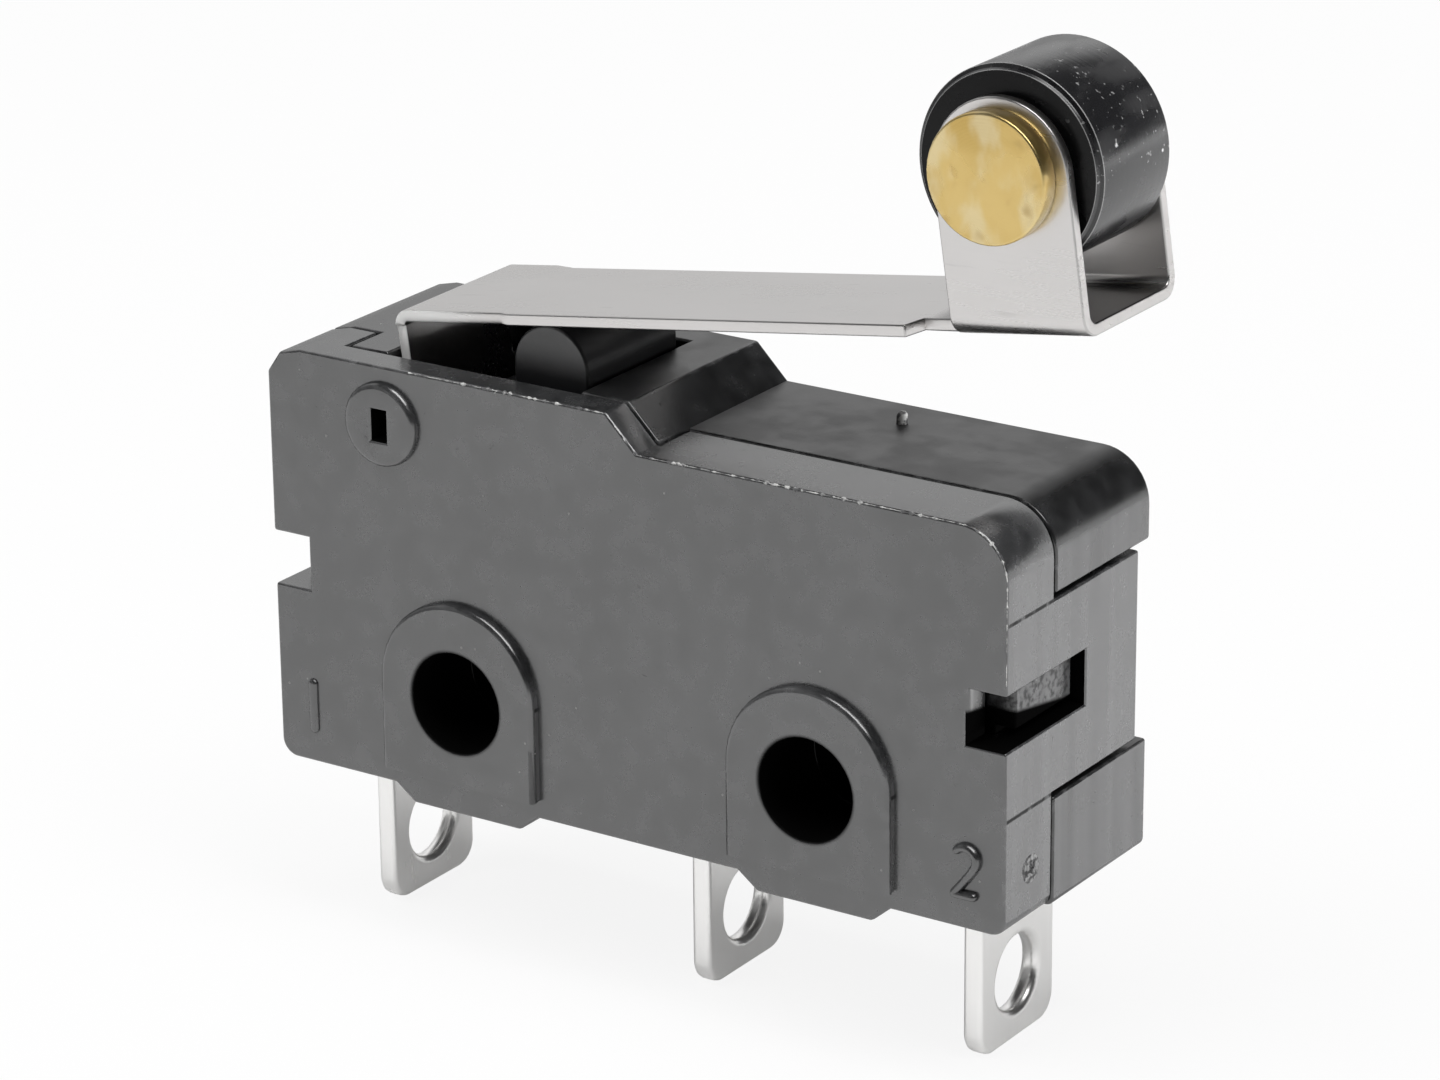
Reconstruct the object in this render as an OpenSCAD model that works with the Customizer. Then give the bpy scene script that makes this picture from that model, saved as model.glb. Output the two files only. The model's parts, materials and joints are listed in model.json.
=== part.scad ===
// Snap-action micro switch with a hinged roller lever, in millimetres.
// The origin lies midway between the two mounting holes, halfway through the thickness.
// X runs along the body, Y from the front cover to the back, Z up towards the lever.

/* [Body] */
// Length of the body from end to end
body_l = 19.74; // [19.2:0.02:20.6]
// Thickness of the body between its front and back faces
body_t = 6.15; // [5.95:0.05:6.7]
// Height of the low part of the body
low_h = 9.35; // [9.1:0.01:9.9]
// Rise of the part that holds the lever and the plunger
raise_h = 0.82; // [0.7:0.02:1.1]
// Thickness of the moulded walls
wall = 0.85; // [0.75:0.05:0.95]
// Thickness of the case's end walls behind the cover's tabs
end_wall = 0.65; // [0.55:0.05:0.75]
// Radius of the round top corner
corner_r = 1.2; // [0.6:0.1:1.6]
// Gap along the joint between the cover and the case
seam = 0.06; // [0.03:0.01:0.1]

/* [Mounting holes] */
// Distance between the two mounting holes
hole_pitch = 9.5; // [9.2:0.1:9.8]
// Diameter of the mounting holes
hole_d = 2.4; // [2:0.05:2.6]
// Distance from the left end to the left hole
hole_inset = 5.29; // [5:0.01:5.5]
// Height of the hole axes above the underside
hole_h = 2.48; // [2.35:0.01:2.6]
// Wall of the posts round the holes
post_wall = 0.55; // [0.4:0.05:0.6]
// Radius of the raised pads round the holes
pad_r = 2.15; // [1.9:0.05:2.3]
// Height of the centre of the pads' round top above the hole axes
pad_lift = 0.22; // [0:0.02:0.4]
// Height of the raised pads above the front face
pad_raise = 0.25; // [0.1:0.05:0.4]
// Height of the feet under the holes
foot_h = 0.42; // [0.2:0.02:0.6]

/* [Cover] */
// Depth of the cover's rim behind the front face
cover_depth = 2.03; // [1.8:0.01:2.3]
// Thickness of the end tabs
tab_t = 0.75; // [0.65:0.05:0.85]
// Height of the end tabs
tab_h = 4.5; // [4:0.1:4.8]
// Height of the middle of the end tabs above the hole axes
tab_mid = 2.49; // [2.4:0.01:2.6]
// How far the tabs reach back from the front face
tab_reach = 5.68; // [5.2:0.02:5.8]
// Gap above and below each tab
tab_gap = 0.12; // [0.06:0.02:0.16]
// Height of the latch windows
window_h = 1.28; // [1:0.02:1.5]
// How far the latch windows reach back from the front face
window_reach = 3.38; // [3:0.02:3.6]
// Depth of the notch that each window makes in the front face
window_notch = 1; // [0.9:0.05:1.2]

/* [Lever] */
// Thickness of the lever sheet
sheet_t = 0.28; // [0.2:0.02:0.34]
// Distance from the left end to the hinge axis
hinge_inset = 3.29; // [3.1:0.01:3.4]
// Depth of the hinge axis below the raised top
hinge_drop = 1.36; // [1.25:0.01:1.5]
// Height of the strip's underside above the hinge axis
strip_rise = 2.09; // [2:0.01:2.3]
// Width of the strip
strip_w = 4.08; // [3.9:0.02:4.3]
// Width of the hinge tongue
tongue_w = 3.8; // [3.4:0.05:3.9]
// Reach of each hinge lug past the tongue
lug_reach = 0.75; // [0.6:0.05:0.9]
// Height of the hinge lugs
lug_h = 0.55; // [0.45:0.05:0.6]
// Distance along the strip from the hinge to the roller
arm_l = 16.4; // [15:0.1:18]
// Height of the roller axis above the strip
axis_h = 3.28; // [3:0.01:3.8]
// Width of the fork ears along the strip
ear_w = 3.3; // [2.8:0.02:3.8]
// Outer radius of the folds under the fork ears
fold_r = 0.5; // [0.4:0.02:0.6]
// Outer radius of the fold above the hinge tongue
tongue_r = 0.38; // [0.34:0.02:0.5]
// How far the lever turns when it is pressed, in degrees
lever_travel = 10; // [6:0.5:10.5]

/* [Roller] */
// Diameter of the roller
roller_d = 4.5; // [4:0.1:4.9]
// Gap between the roller's hub and each fork ear
roller_gap = 0.08; // [0.06:0.02:0.2]
// Diameter of the rivet's shank
pin_d = 1.2; // [1:0.05:1.4]
// Diameter of the rivet's front head
head_d = 2.87; // [2.2:0.01:3]
// Height of the rivet's front head
head_h = 0.5; // [0.3:0.02:0.6]
// Running gap between the roller and the rivet, on the radius
spin_gap = 0.05; // [0.02:0.01:0.1]

/* [Plunger] */
// Distance from the hinge axis to the plunger
plunger_arm = 3.78; // [3.6:0.02:4]
// Width of the plunger along the body
plunger_w = 2.04; // [1.8:0.02:2.2]
// Depth of the plunger across the body
plunger_t = 3.55; // [3:0.05:3.7]
// Gap round the plunger in its guide
guide_gap = 0.05; // [0.03:0.01:0.08]

/* [Terminals] */
// Thickness of the terminal sheet
tag_t = 0.5; // [0.4:0.02:0.54]
// Width of the terminals
tag_w = 3.2; // [2.8:0.05:3.3]
// Reach of the terminals below the underside
tag_l = 3.97; // [3.6:0.01:5]
// Diameter of the eyes in the terminals
eye_d = 1.75; // [1.4:0.05:1.9]
// Distance from the common terminal to the middle one
tag_pitch = 9; // [8.8:0.05:9.2]
// Gap round each terminal in its slot
tag_gap = 0.04; // [0.02:0.01:0.06]

/* [Contacts] */
// Thickness of the moving blade
blade_t = 0.15; // [0.1:0.01:0.18]
// Width of the moving blade
blade_w = 3; // [2.6:0.1:3.4]
// Diameter of the contact heads
contact_d = 1.7; // [1.4:0.05:1.9]
// Height of the fixed contact heads
contact_h = 0.4; // [0.3:0.02:0.44]
// Height of each moving contact head
moving_h = 0.35; // [0.25:0.02:0.38]
// Travel of the moving contact
contact_travel = 0.84; // [0.6:0.02:0.88]
// Gap left between contact faces that meet
contact_gap = 0.08; // [0.06:0.01:0.1]
// Thickness of the snap spring
spring_t = 0.12; // [0.08:0.01:0.16]

/* [Hidden] */
$fn = 64;
over = 0.2;

// Main faces of the body; over is the overlap that makes cuts and joins clean
left_x = -hole_pitch / 2 - hole_inset;
right_x = left_x + body_l;
front_y = -body_t / 2;
back_y = body_t / 2;
under_z = -hole_h;
low_z = under_z + low_h;
high_z = low_z + raise_h;
plate_y = front_y + wall;
joint_y = front_y + cover_depth;
rear_y = back_y - wall;

// Hinge, plunger and the raised seat
hinge_x = left_x + hinge_inset;
hinge_z = high_z - hinge_drop;
plunger_x = hinge_x + plunger_arm;
tongue_room = 0.5;
tongue_swing = 0.75;
seat_wall = 0.25;
jog_wall = 1.05;
land_l = 1.35;
pocket_x = hinge_x - tongue_room;
pocket_end = plunger_x + plunger_w / 2 + guide_gap;
seat_x = hinge_x + tongue_swing + seat_wall;
jog_x = pocket_x - jog_wall;
slope_top = pocket_end + land_l - guide_gap;
slope_end = slope_top + raise_h;
bevel_l = 0.36;
bevel_h = 0.65;
dip_l = 0.95;
dip_h = 0.14;

// Cavity
cave_left = left_x + tab_t + seam + end_wall;
cave_right = right_x - tab_t - seam - end_wall;
floor_z = under_z + wall;
roof_z = low_z - wall;
guide_t = 0.5;
pit_h = 0.45;
seat_t = 0.6;
pocket_z = roof_z + guide_t;
tongue_pit = hinge_z - pit_h;
seat_z = tongue_pit - seat_t;

// Cover details
tab_low = tab_mid - tab_h / 2;
tab_high = tab_mid + tab_h / 2;
post_r = hole_d / 2 + post_wall;
front_bevel_h = 0.45;
front_bevel_t = 0.1;
cover_r = 0.4;
case_r = 0.2;
foot_step = 0.15;
foot_slant = 0.5;
disc_r = 1;
disc_raise = 0.2;
slot_gap = 0.035;
slot_tall = 0.08;
latch_recess = 0.3;
latch_h = 1;
latch_side = 0.1;

// Lever at rest: its underside lies on the plunger's round top
lever_tilt = 8.2;
lift_gap = 0.03;
dome_r = plunger_w / 2;
dome_z = hinge_z + dome_at(lever_tilt);
plunger_stroke = dome_at(lever_tilt) - dome_at(lever_tilt - lever_travel);
ear_shift = 0.06;
ear_x = arm_l + ear_shift;
ear_left = ear_x - ear_w / 2;
ear_right = ear_x + ear_w / 2;
axis_z = strip_rise + sheet_t + axis_h;
strip_y = strip_w / 2;
tongue_y = tongue_w / 2;
shoulder_out = 0.2;
shoulder_y = strip_y + shoulder_out;
shoulder_l = 1.55;
neck_l = 2.9;
taper_l = 0.6;
neck_cut = 0.05;
fork_inset = 0.09;
fork_y = strip_y - fork_inset;
relief_l = 1.1;
relief_slant = 0.15;
lug_drop = 0.03;

// Roller and rivet
hub_r = 1.1;
hub_rise = 0.09;
rim_step = 0.08;
rim_ring = 0.1;
rim_bevel = 0.05;
ring_slant = 0.03;
hub_y = fork_y - sheet_t - roller_gap;
face_y = hub_y - hub_rise;
rim_y = face_y - rim_step;
tail_d = head_d * 0.75;
tail_h = 0.35;

// Terminals and contacts
tag_y = 0.1;
tag_r = 0.6;
tag_end = under_z - tag_l;
eye_rise = 1.58;
eye_z = tag_end + eye_rise;
common_x = cave_left + tag_gap + tag_t / 2;
closed_x = cave_right - tag_gap - tag_t / 2;
open_x = common_x + tag_pitch;
arm_room = 0.65;
contact_x = closed_x - tag_t / 2 - arm_room - contact_d / 2;
arm_edge = 0.1;
arm_w = 2.4;
shoulder_h = 0.6;
shoulder_out_y = 0.25;
shoulder_w = tag_w + 2 * shoulder_out_y;
shank_d = 0.9;
rivet_tail_d = 1.3;
rivet_tail_h = 0.12;
press_gap = 0.02;
roof_gap = 0.12;
blade_h = roof_z - roof_gap - rivet_tail_h - tag_t - contact_h - contact_gap - moving_h - blade_t / 2;
pivot_x = common_x;
blade_turn = asin(contact_travel / (contact_x - pivot_x));
moving_top = blade_h + blade_t / 2 + moving_h;
moving_low = blade_h - blade_t / 2 - moving_h;
closed_arm_z = moving_top + contact_gap + contact_h;
open_arm_z = moving_low - contact_travel - contact_gap - contact_h;
blade_drop = (plunger_x - pivot_x) * tan(blade_turn);
tip_gap = 0.05;
tip_z = blade_h + blade_t / 2 + plunger_stroke - blade_drop + tip_gap;
flange_t = 0.5;
flange_side = 0.35;
tip_w = 0.8;
post_gap = 0.62;
anchor_reach = 0.35;
anchor_z = post_r + post_gap;
anchor_x = anchor_reach - hole_pitch / 2;
anchor_t = 0.4;
anchor_w = 1.4;
anchor_h = 0.9;
window_y = 0.8;
window_over = 0.3;
window_far = 0.7;
blade_tab_y = 0.7;
tab_room = 0.15;
slot_room = 0.28;
common_top = 0.6;
neck_room = 0.15;
blade_window_left = anchor_x - window_over;
blade_window_right = open_x + window_far;
spring_w = 1.2;
spring_sag = 0.75;
spring_gap = 0.05;
spring_foot = 0.15;

// Height of the dome's centre above the hinge axis when the strip stands at angle a
function dome_at(a) = (strip_rise - dome_r - lift_gap + plunger_arm * sin(a)) / cos(a);

// Solid between two planes of constant Y, from a drawing in X and Z
module slab(y0, y1) {
    translate([0, y1, 0])
        rotate([90, 0, 0])
            linear_extrude(height = y1 - y0)
                children();
}

// Solid between two planes of constant X, from a drawing in Y and Z
module plank(x0, x1) {
    translate([x0, 0, 0])
        rotate([90, 0, 90])
            linear_extrude(height = x1 - x0)
                children();
}

// Box from its limits
module box(x0, x1, y0, y1, z0, z1) {
    translate([x0, y0, z0])
        cube([x1 - x0, y1 - y0, z1 - z0]);
}

// Rectangle from its limits
module rect(a0, a1, b0, b1) {
    translate([a0, b0])
        square([a1 - a0, b1 - b0]);
}

// Cylinder along Y
module rod(x, z, r, y0, y1) {
    translate([x, y1, z])
        rotate([90, 0, 0])
            cylinder(r = r, h = y1 - y0);
}

// Cutter that leaves a round corner; sx and sz point into the shape
module corner_cut(x, z, r, sx, sz) {
    difference() {
        translate([sx > 0 ? x - over : x - r, sz > 0 ? z - over : z - r])
            square(r + over);
        translate([x + sx * r, z + sz * r])
            circle(r = r);
    }
}

// Quarter of a ring, the fold of a sheet; sx and sz point from its centre to the fold
module fold(r_out, t, sx, sz) {
    intersection() {
        difference() {
            circle(r = r_out);
            circle(r = r_out - t);
        }
        translate([sx > 0 ? 0 : -r_out, sz > 0 ? 0 : -r_out])
            square(r_out);
    }
}

// Outline of the body seen from the front, with its feet; r rounds the lower corners
module outline(r) {
    difference() {
        polygon([[left_x, under_z], [right_x, under_z], [right_x, low_z], [slope_end, low_z],
                 [slope_top, high_z], [left_x + dip_l, high_z], [left_x + bevel_l, high_z - dip_h],
                 [left_x, high_z - bevel_h]]);
        corner_cut(right_x, low_z, corner_r, -1, -1);
        corner_cut(right_x, under_z, r, -1, 1);
        corner_cut(left_x, under_z, r, 1, 1);
    }
    for (s = [-1, 1])
        translate([s * hole_pitch / 2, under_z])
            polygon([[-pad_r, over], [pad_r, over], [pad_r - foot_step, 0],
                     [pad_r - foot_step - foot_slant, -foot_h],
                     [foot_step + foot_slant - pad_r, -foot_h], [foot_step - pad_r, 0]]);
}

// Part of the outline where the case comes forward to the cover's plate
module raised_zone(grow) {
    rect(jog_x - grow, slope_end + grow, roof_z - grow, high_z + over);
    rect(jog_x - grow, seat_x + grow, seat_z - grow, high_z + over);
}

module mounting_holes() {
    for (s = [-1, 1])
        rod(s * hole_pitch / 2, 0, hole_d / 2, front_y - pad_raise - over, back_y + over);
}

module posts(y0, y1) {
    for (s = [-1, 1])
        rod(s * hole_pitch / 2, 0, post_r, y0, y1);
}

module terminal_slots() {
    for (x = [common_x, open_x, closed_x])
        box(x - tag_t / 2 - tag_gap, x + tag_t / 2 + tag_gap,
            tag_y - tag_w / 2 - tag_gap, tag_y + tag_w / 2 + tag_gap,
            under_z - foot_h - over, floor_z + over);
}

module lug_slot(y0, y1) {
    half_w = (sheet_t * cos(lever_tilt) + lug_h * sin(lever_tilt)) / 2 + slot_gap;
    half_h = (lug_h * cos(lever_tilt) + sheet_t * sin(lever_tilt)) / 2 + slot_tall;
    box(hinge_x - half_w, hinge_x + half_w, y0, y1, hinge_z - half_h, hinge_z + half_h);
}

// Rim of the cover between its plate and the joint
module cover_rim() {
    slab(plate_y - over, joint_y - seam / 2)
        difference() {
            outline(cover_r);
            rect(cave_left, cave_right, floor_z, roof_z);
            raised_zone(seam);
            rect(cave_left - end_wall - seam, cave_left + over, tab_low - tab_gap, tab_high + tab_gap);
            rect(cave_right - over, cave_right + end_wall + seam, tab_low - tab_gap, tab_high + tab_gap);
        }
}

module pads() {
    for (s = [-1, 1])
        translate([s * hole_pitch / 2, 0, 0])
            slab(front_y - pad_raise, front_y + over) {
                translate([0, pad_lift])
                    circle(r = pad_r);
                rect(-pad_r, pad_r, under_z + front_bevel_h, pad_lift);
            }
}

module end_tabs() {
    box(left_x, left_x + tab_t, plate_y - over, front_y + tab_reach, tab_low, tab_high);
    box(right_x - tab_t, right_x, plate_y - over, front_y + tab_reach, tab_low, tab_high);
}

module latch_windows() {
    low = tab_mid - window_h / 2;
    high = tab_mid + window_h / 2;
    box(left_x - over, left_x + window_notch, front_y - over, front_y + window_reach, low, high);
    box(right_x - window_notch, right_x + over, front_y - over, front_y + window_reach, low, high);
}

// Sloping cut along the lower front edge
module front_bevel() {
    plank(left_x - over, right_x + over)
        polygon([[front_y - pad_raise - over, under_z + front_bevel_h], [front_y, under_z + front_bevel_h],
                 [front_y + front_bevel_t, under_z - foot_h - over],
                 [front_y - pad_raise - over, under_z - foot_h - over]]);
}

module cover() {
    color([0.2, 0.2, 0.21])
        difference() {
            union() {
                slab(front_y, plate_y)
                    outline(cover_r);
                cover_rim();
                end_tabs();
                pads();
                rod(hinge_x, hinge_z, disc_r, front_y - disc_raise, front_y + over);
                posts(plate_y - over, joint_y - seam / 2);
            }
            mounting_holes();
            latch_windows();
            terminal_slots();
            lug_slot(front_y - disc_raise - over, plate_y + over);
            front_bevel();
        }
}

// Hollow rear shell of the case, open to the front
module case_shell() {
    slab(joint_y + seam / 2, back_y)
        difference() {
            outline(case_r);
            rect(cave_left, cave_right, floor_z, roof_z);
        }
    slab(rear_y, back_y)
        outline(case_r);
    box(cave_left - over, seat_x, joint_y + seam / 2, back_y - over, seat_z, roof_z + over);
}

// Roof and end walls that come forward past the joint to the cover's plate
module case_front() {
    slab(plate_y + seam, joint_y + over)
        intersection() {
            outline(case_r);
            raised_zone(0);
        }
    box(cave_left - end_wall, cave_left, plate_y + seam, joint_y + over, tab_low, tab_high);
    box(cave_right, cave_right + end_wall, plate_y + seam, joint_y + over, tab_low, tab_high);
}

// Recesses for the tabs, open at the back
module tab_recesses() {
    for (x = [[left_x - over, left_x + tab_t + seam], [right_x - tab_t - seam, right_x + over]])
        box(x[0], x[1], plate_y, back_y + over, tab_low - tab_gap, tab_high + tab_gap);
}

module latch_bumps() {
    top = tab_mid + window_h / 2 - latch_side;
    for (x = [[left_x + latch_recess, left_x + tab_t + seam + over],
              [right_x - tab_t - seam - over, right_x - latch_recess]])
        box(x[0], x[1], plate_y + seam, front_y + window_reach - latch_side, top - latch_h, top);
}

// Pocket in the raised top for the lever's tongue, and the plunger's guide
module lever_pocket() {
    box(pocket_x, pocket_end, plate_y - over, rear_y, pocket_z, high_z + over);
    box(pocket_x, hinge_x + tongue_swing, plate_y - over, rear_y, tongue_pit, high_z + over);
    box(plunger_x - plunger_w / 2 - guide_gap, plunger_x + plunger_w / 2 + guide_gap,
        -plunger_t / 2 - guide_gap, plunger_t / 2 + guide_gap, roof_z - over, high_z + over);
}

module case() {
    color([0.16, 0.16, 0.17]) {
        difference() {
            union() {
                case_shell();
                case_front();
                posts(joint_y + seam / 2, back_y);
            }
            tab_recesses();
            lever_pocket();
            lug_slot(rear_y - over, back_y + over);
            mounting_holes();
            terminal_slots();
        }
        latch_bumps();
    }
}

// Strip of the lever seen from above: tongue end, shoulder, strip, bend relief and fork base
module strip_plan() {
    start = tongue_r - sheet_t / 2;
    neck_y = tongue_y + neck_cut;
    base_y = fork_y - fold_r;
    relief = ear_left - relief_l;
    polygon([[start, -neck_y], [neck_l, -neck_y], [neck_l + strip_y - neck_y + relief_slant, -strip_y],
             [relief, -strip_y], [relief + relief_slant, -base_y], [ear_right, -base_y],
             [ear_right, base_y], [relief + relief_slant, base_y], [relief, strip_y],
             [shoulder_l + taper_l, strip_y], [shoulder_l, shoulder_y], [start, shoulder_y]]);
}

// Fold that carries the strip down into the hinge tongue
module tongue() {
    top = strip_rise + sheet_t - tongue_r;
    low = -lug_h / 2;
    translate([tongue_r - sheet_t / 2, 0, top])
        slab(-tongue_y - neck_cut, shoulder_y)
            fold(tongue_r, sheet_t, -1, 1);
    box(-sheet_t / 2, sheet_t / 2, -tongue_y, tongue_y, low - lug_drop, top);
    box(-sheet_t / 2, sheet_t / 2, -tongue_y - lug_reach, tongue_y + lug_reach, low, -low);
}

// One fork ear with its fold, on the side given by s
module fork_ear(s) {
    plank(ear_left, ear_right)
        translate([s * (fork_y - fold_r), strip_rise + fold_r])
            fold(fold_r, sheet_t, s, -1);
    outer = s > 0 ? fork_y : sheet_t - fork_y;
    slab(outer - sheet_t, outer)
        difference() {
            union() {
                translate([ear_x, axis_z])
                    circle(r = ear_w / 2);
                rect(ear_left, ear_right, strip_rise + fold_r, axis_z);
            }
            translate([arm_l, axis_z])
                circle(r = pin_d / 2 + press_gap);
        }
}

// Places a child drawn from the hinge axis, with the strip level, at the lever's rest angle
module at_lever() {
    translate([hinge_x, 0, hinge_z])
        rotate([0, -lever_tilt, 0])
            children();
}

module lever() {
    color([0.75, 0.74, 0.72])
        at_lever() {
            translate([0, 0, strip_rise])
                linear_extrude(height = sheet_t)
                    strip_plan();
            tongue();
            fork_ear(-1);
            fork_ear(1);
        }
}

module roller() {
    bore = pin_d / 2 + spin_gap;
    rim = roller_d / 2;
    ring = rim - rim_ring;
    color([0.1, 0.1, 0.1])
        at_lever()
            translate([arm_l, 0, axis_z])
                rotate([90, 0, 0])
                    rotate_extrude()
                        polygon([[bore, -hub_y], [hub_r, -hub_y], [hub_r, -face_y],
                                 [ring - ring_slant, -face_y], [ring, -rim_y],
                                 [rim, rim_bevel - rim_y], [rim, rim_y - rim_bevel], [ring, rim_y],
                                 [ring - ring_slant, face_y], [hub_r, face_y], [hub_r, hub_y],
                                 [bore, hub_y]]);
}

module roller_pin() {
    color([0.82, 0.65, 0.3])
        at_lever() {
            rod(arm_l, axis_z, pin_d / 2, -fork_y - over, fork_y + over);
            rod(arm_l, axis_z, head_d / 2, -fork_y - head_h, -fork_y);
            rod(arm_l, axis_z, tail_d / 2, fork_y, fork_y + tail_h);
        }
}

module plunger() {
    flange_top = roof_z - guide_gap;
    color([0.14, 0.14, 0.15]) {
        slab(-plunger_t / 2, plunger_t / 2) {
            translate([plunger_x, dome_z])
                circle(r = dome_r);
            rect(plunger_x - dome_r, plunger_x + dome_r, flange_top - flange_t, dome_z);
            rect(plunger_x - dome_r - flange_side, plunger_x + dome_r + flange_side,
                 flange_top - flange_t, flange_top);
        }
        box(plunger_x - tip_w / 2, plunger_x + tip_w / 2, -plunger_t / 2, plunger_t / 2,
            tip_z, flange_top - over);
    }
}

// Upright sheet of a terminal: solder tag with its eye, slot stretch and inner shoulder
module tag(x, top) {
    half = tag_w / 2;
    plank(x - tag_t / 2, x + tag_t / 2)
        translate([tag_y, 0])
            difference() {
                union() {
                    rect(-half, half, tag_end, top);
                    rect(-shoulder_w / 2, shoulder_w / 2, floor_z + tag_gap, floor_z + tag_gap + shoulder_h);
                }
                corner_cut(-half, tag_end, tag_r, 1, 1);
                corner_cut(half, tag_end, tag_r, -1, 1);
                translate([0, eye_z])
                    circle(d = eye_d);
            }
}

// Level arm of a terminal with the hole for its contact rivet
module contact_arm(x0, x1, z0) {
    difference() {
        box(x0, x1, tag_y - arm_w / 2, tag_y + arm_w / 2, z0, z0 + tag_t);
        translate([contact_x, tag_y, z0 - over])
            cylinder(d = shank_d + 2 * press_gap, h = tag_t + 2 * over);
    }
}

module common_terminal() {
    color([0.86, 0.85, 0.83]) {
        difference() {
            tag(common_x, blade_h + common_top);
            box(common_x - tag_t, common_x + tag_t, -blade_tab_y - tab_room, blade_tab_y + tab_room,
                blade_h - slot_room, blade_h + slot_room);
        }
        box(common_x, anchor_x, -anchor_w / 2, anchor_w / 2, anchor_z, anchor_z + anchor_t);
        box(anchor_x - anchor_t, anchor_x, -anchor_w / 2, anchor_w / 2, anchor_z, anchor_z + anchor_h);
    }
}

module normally_open_terminal() {
    arm_end = contact_x + contact_d / 2 + arm_edge;
    color([0.86, 0.85, 0.83]) {
        tag(open_x, open_arm_z);
        contact_arm(open_x - tag_t / 2, arm_end, open_arm_z - tag_t);
    }
}

module normally_closed_terminal() {
    arm_end = contact_x - contact_d / 2 - arm_edge;
    color([0.86, 0.85, 0.83]) {
        tag(closed_x, closed_arm_z + tag_t);
        contact_arm(arm_end, closed_x + tag_t / 2, closed_arm_z);
    }
}

// Contact rivet drawn head up on z = 0, with its shank and formed tail below
module contact_rivet(sheet) {
    cylinder(d = contact_d, h = contact_h);
    translate([0, 0, -sheet])
        cylinder(d = shank_d, h = sheet + over);
    translate([0, 0, -sheet - rivet_tail_h])
        cylinder(d = rivet_tail_d, h = rivet_tail_h);
}

module normally_open_contact() {
    color([0.88, 0.88, 0.86])
        translate([contact_x, tag_y, open_arm_z])
            contact_rivet(tag_t);
}

module normally_closed_contact() {
    color([0.88, 0.88, 0.86])
        translate([contact_x, tag_y, closed_arm_z])
            rotate([180, 0, 0])
                contact_rivet(tag_t);
}

module moving_blade() {
    neck_x = common_x + tag_t / 2 + neck_room;
    color([0.8, 0.6, 0.38])
        translate([0, 0, blade_h - blade_t / 2])
            linear_extrude(height = blade_t)
                difference() {
                    union() {
                        rect(common_x - tag_t / 2, neck_x + over, -blade_tab_y, blade_tab_y);
                        rect(neck_x, contact_x + contact_d / 2, -blade_w / 2, blade_w / 2);
                    }
                    rect(blade_window_left, blade_window_right, -window_y, window_y);
                    translate([contact_x, tag_y])
                        circle(d = shank_d + 2 * press_gap);
                }
}

module moving_contact() {
    color([0.88, 0.88, 0.86])
        translate([contact_x, tag_y, 0]) {
            translate([0, 0, blade_h + blade_t / 2])
                cylinder(d = contact_d, h = moving_h);
            translate([0, 0, moving_low])
                cylinder(d = contact_d, h = moving_h);
            translate([0, 0, moving_low + over / 2])
                cylinder(d = shank_d, h = moving_top - moving_low - over);
        }
}

// Bowed leaf from the common terminal's anchor to the far edge of the blade's window
module snap_spring() {
    ends = [[anchor_x + spring_gap, anchor_z + anchor_h - spring_foot],
            [blade_window_right - spring_gap, blade_h]];
    span = ends[1] - ends[0];
    chord = norm(span);
    lean = atan2(span[1], span[0]);
    bow_r = (chord * chord / 4 + spring_sag * spring_sag) / (2 * spring_sag);
    color([0.78, 0.76, 0.72])
        translate([ends[0][0], 0, ends[0][1]])
            rotate([0, -lean, 0])
                slab(-spring_w / 2, spring_w / 2)
                    intersection() {
                        translate([chord / 2, bow_r - spring_sag])
                            difference() {
                                circle(r = bow_r, $fn = 128);
                                circle(r = bow_r - spring_t, $fn = 128);
                            }
                        rect(0, chord, -2 * spring_sag, spring_sag);
                    }
}

case();
cover();
lever();
roller();
roller_pin();
plunger();
common_terminal();
normally_open_terminal();
normally_closed_terminal();
normally_open_contact();
normally_closed_contact();
moving_blade();
moving_contact();
snap_spring();
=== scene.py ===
# %% [markdown]
# # A snap-action switch with a roller lever
#
# The solids of this small switch come from a CAD model, and they stay exactly where that model
# puts them. This lesson gives them their looks: soft moulded and rolled edges, finishes made of
# shader nodes, and the small marks that moulding and handling leave behind.
#
# The scene is in metres and in the CAD model's own frame. X runs along the switch, Y from its
# front to its back, and Z up towards the lever. Lengths on the part are written in millimetres,
# which suit its size, and MM turns them into metres.

# %% Load the solids and keep their overall box
import json
import math

import bmesh
import bpy
import numpy as np
from mathutils import Matrix, Vector


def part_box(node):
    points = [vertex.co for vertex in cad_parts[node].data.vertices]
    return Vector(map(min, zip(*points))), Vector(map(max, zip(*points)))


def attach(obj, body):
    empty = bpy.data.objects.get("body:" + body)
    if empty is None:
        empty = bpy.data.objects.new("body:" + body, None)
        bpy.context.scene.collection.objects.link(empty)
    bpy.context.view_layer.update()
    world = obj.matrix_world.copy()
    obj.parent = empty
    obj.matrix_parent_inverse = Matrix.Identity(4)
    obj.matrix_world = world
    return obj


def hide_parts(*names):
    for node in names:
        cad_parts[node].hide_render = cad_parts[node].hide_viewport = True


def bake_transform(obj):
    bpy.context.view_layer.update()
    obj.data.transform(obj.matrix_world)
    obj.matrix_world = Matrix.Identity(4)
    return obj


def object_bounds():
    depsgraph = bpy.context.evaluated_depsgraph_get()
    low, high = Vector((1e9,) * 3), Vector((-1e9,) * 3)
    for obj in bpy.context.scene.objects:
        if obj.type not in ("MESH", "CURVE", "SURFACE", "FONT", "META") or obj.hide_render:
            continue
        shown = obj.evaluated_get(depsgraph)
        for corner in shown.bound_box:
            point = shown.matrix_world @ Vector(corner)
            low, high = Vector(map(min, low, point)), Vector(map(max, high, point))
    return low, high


MM = 0.001
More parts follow.
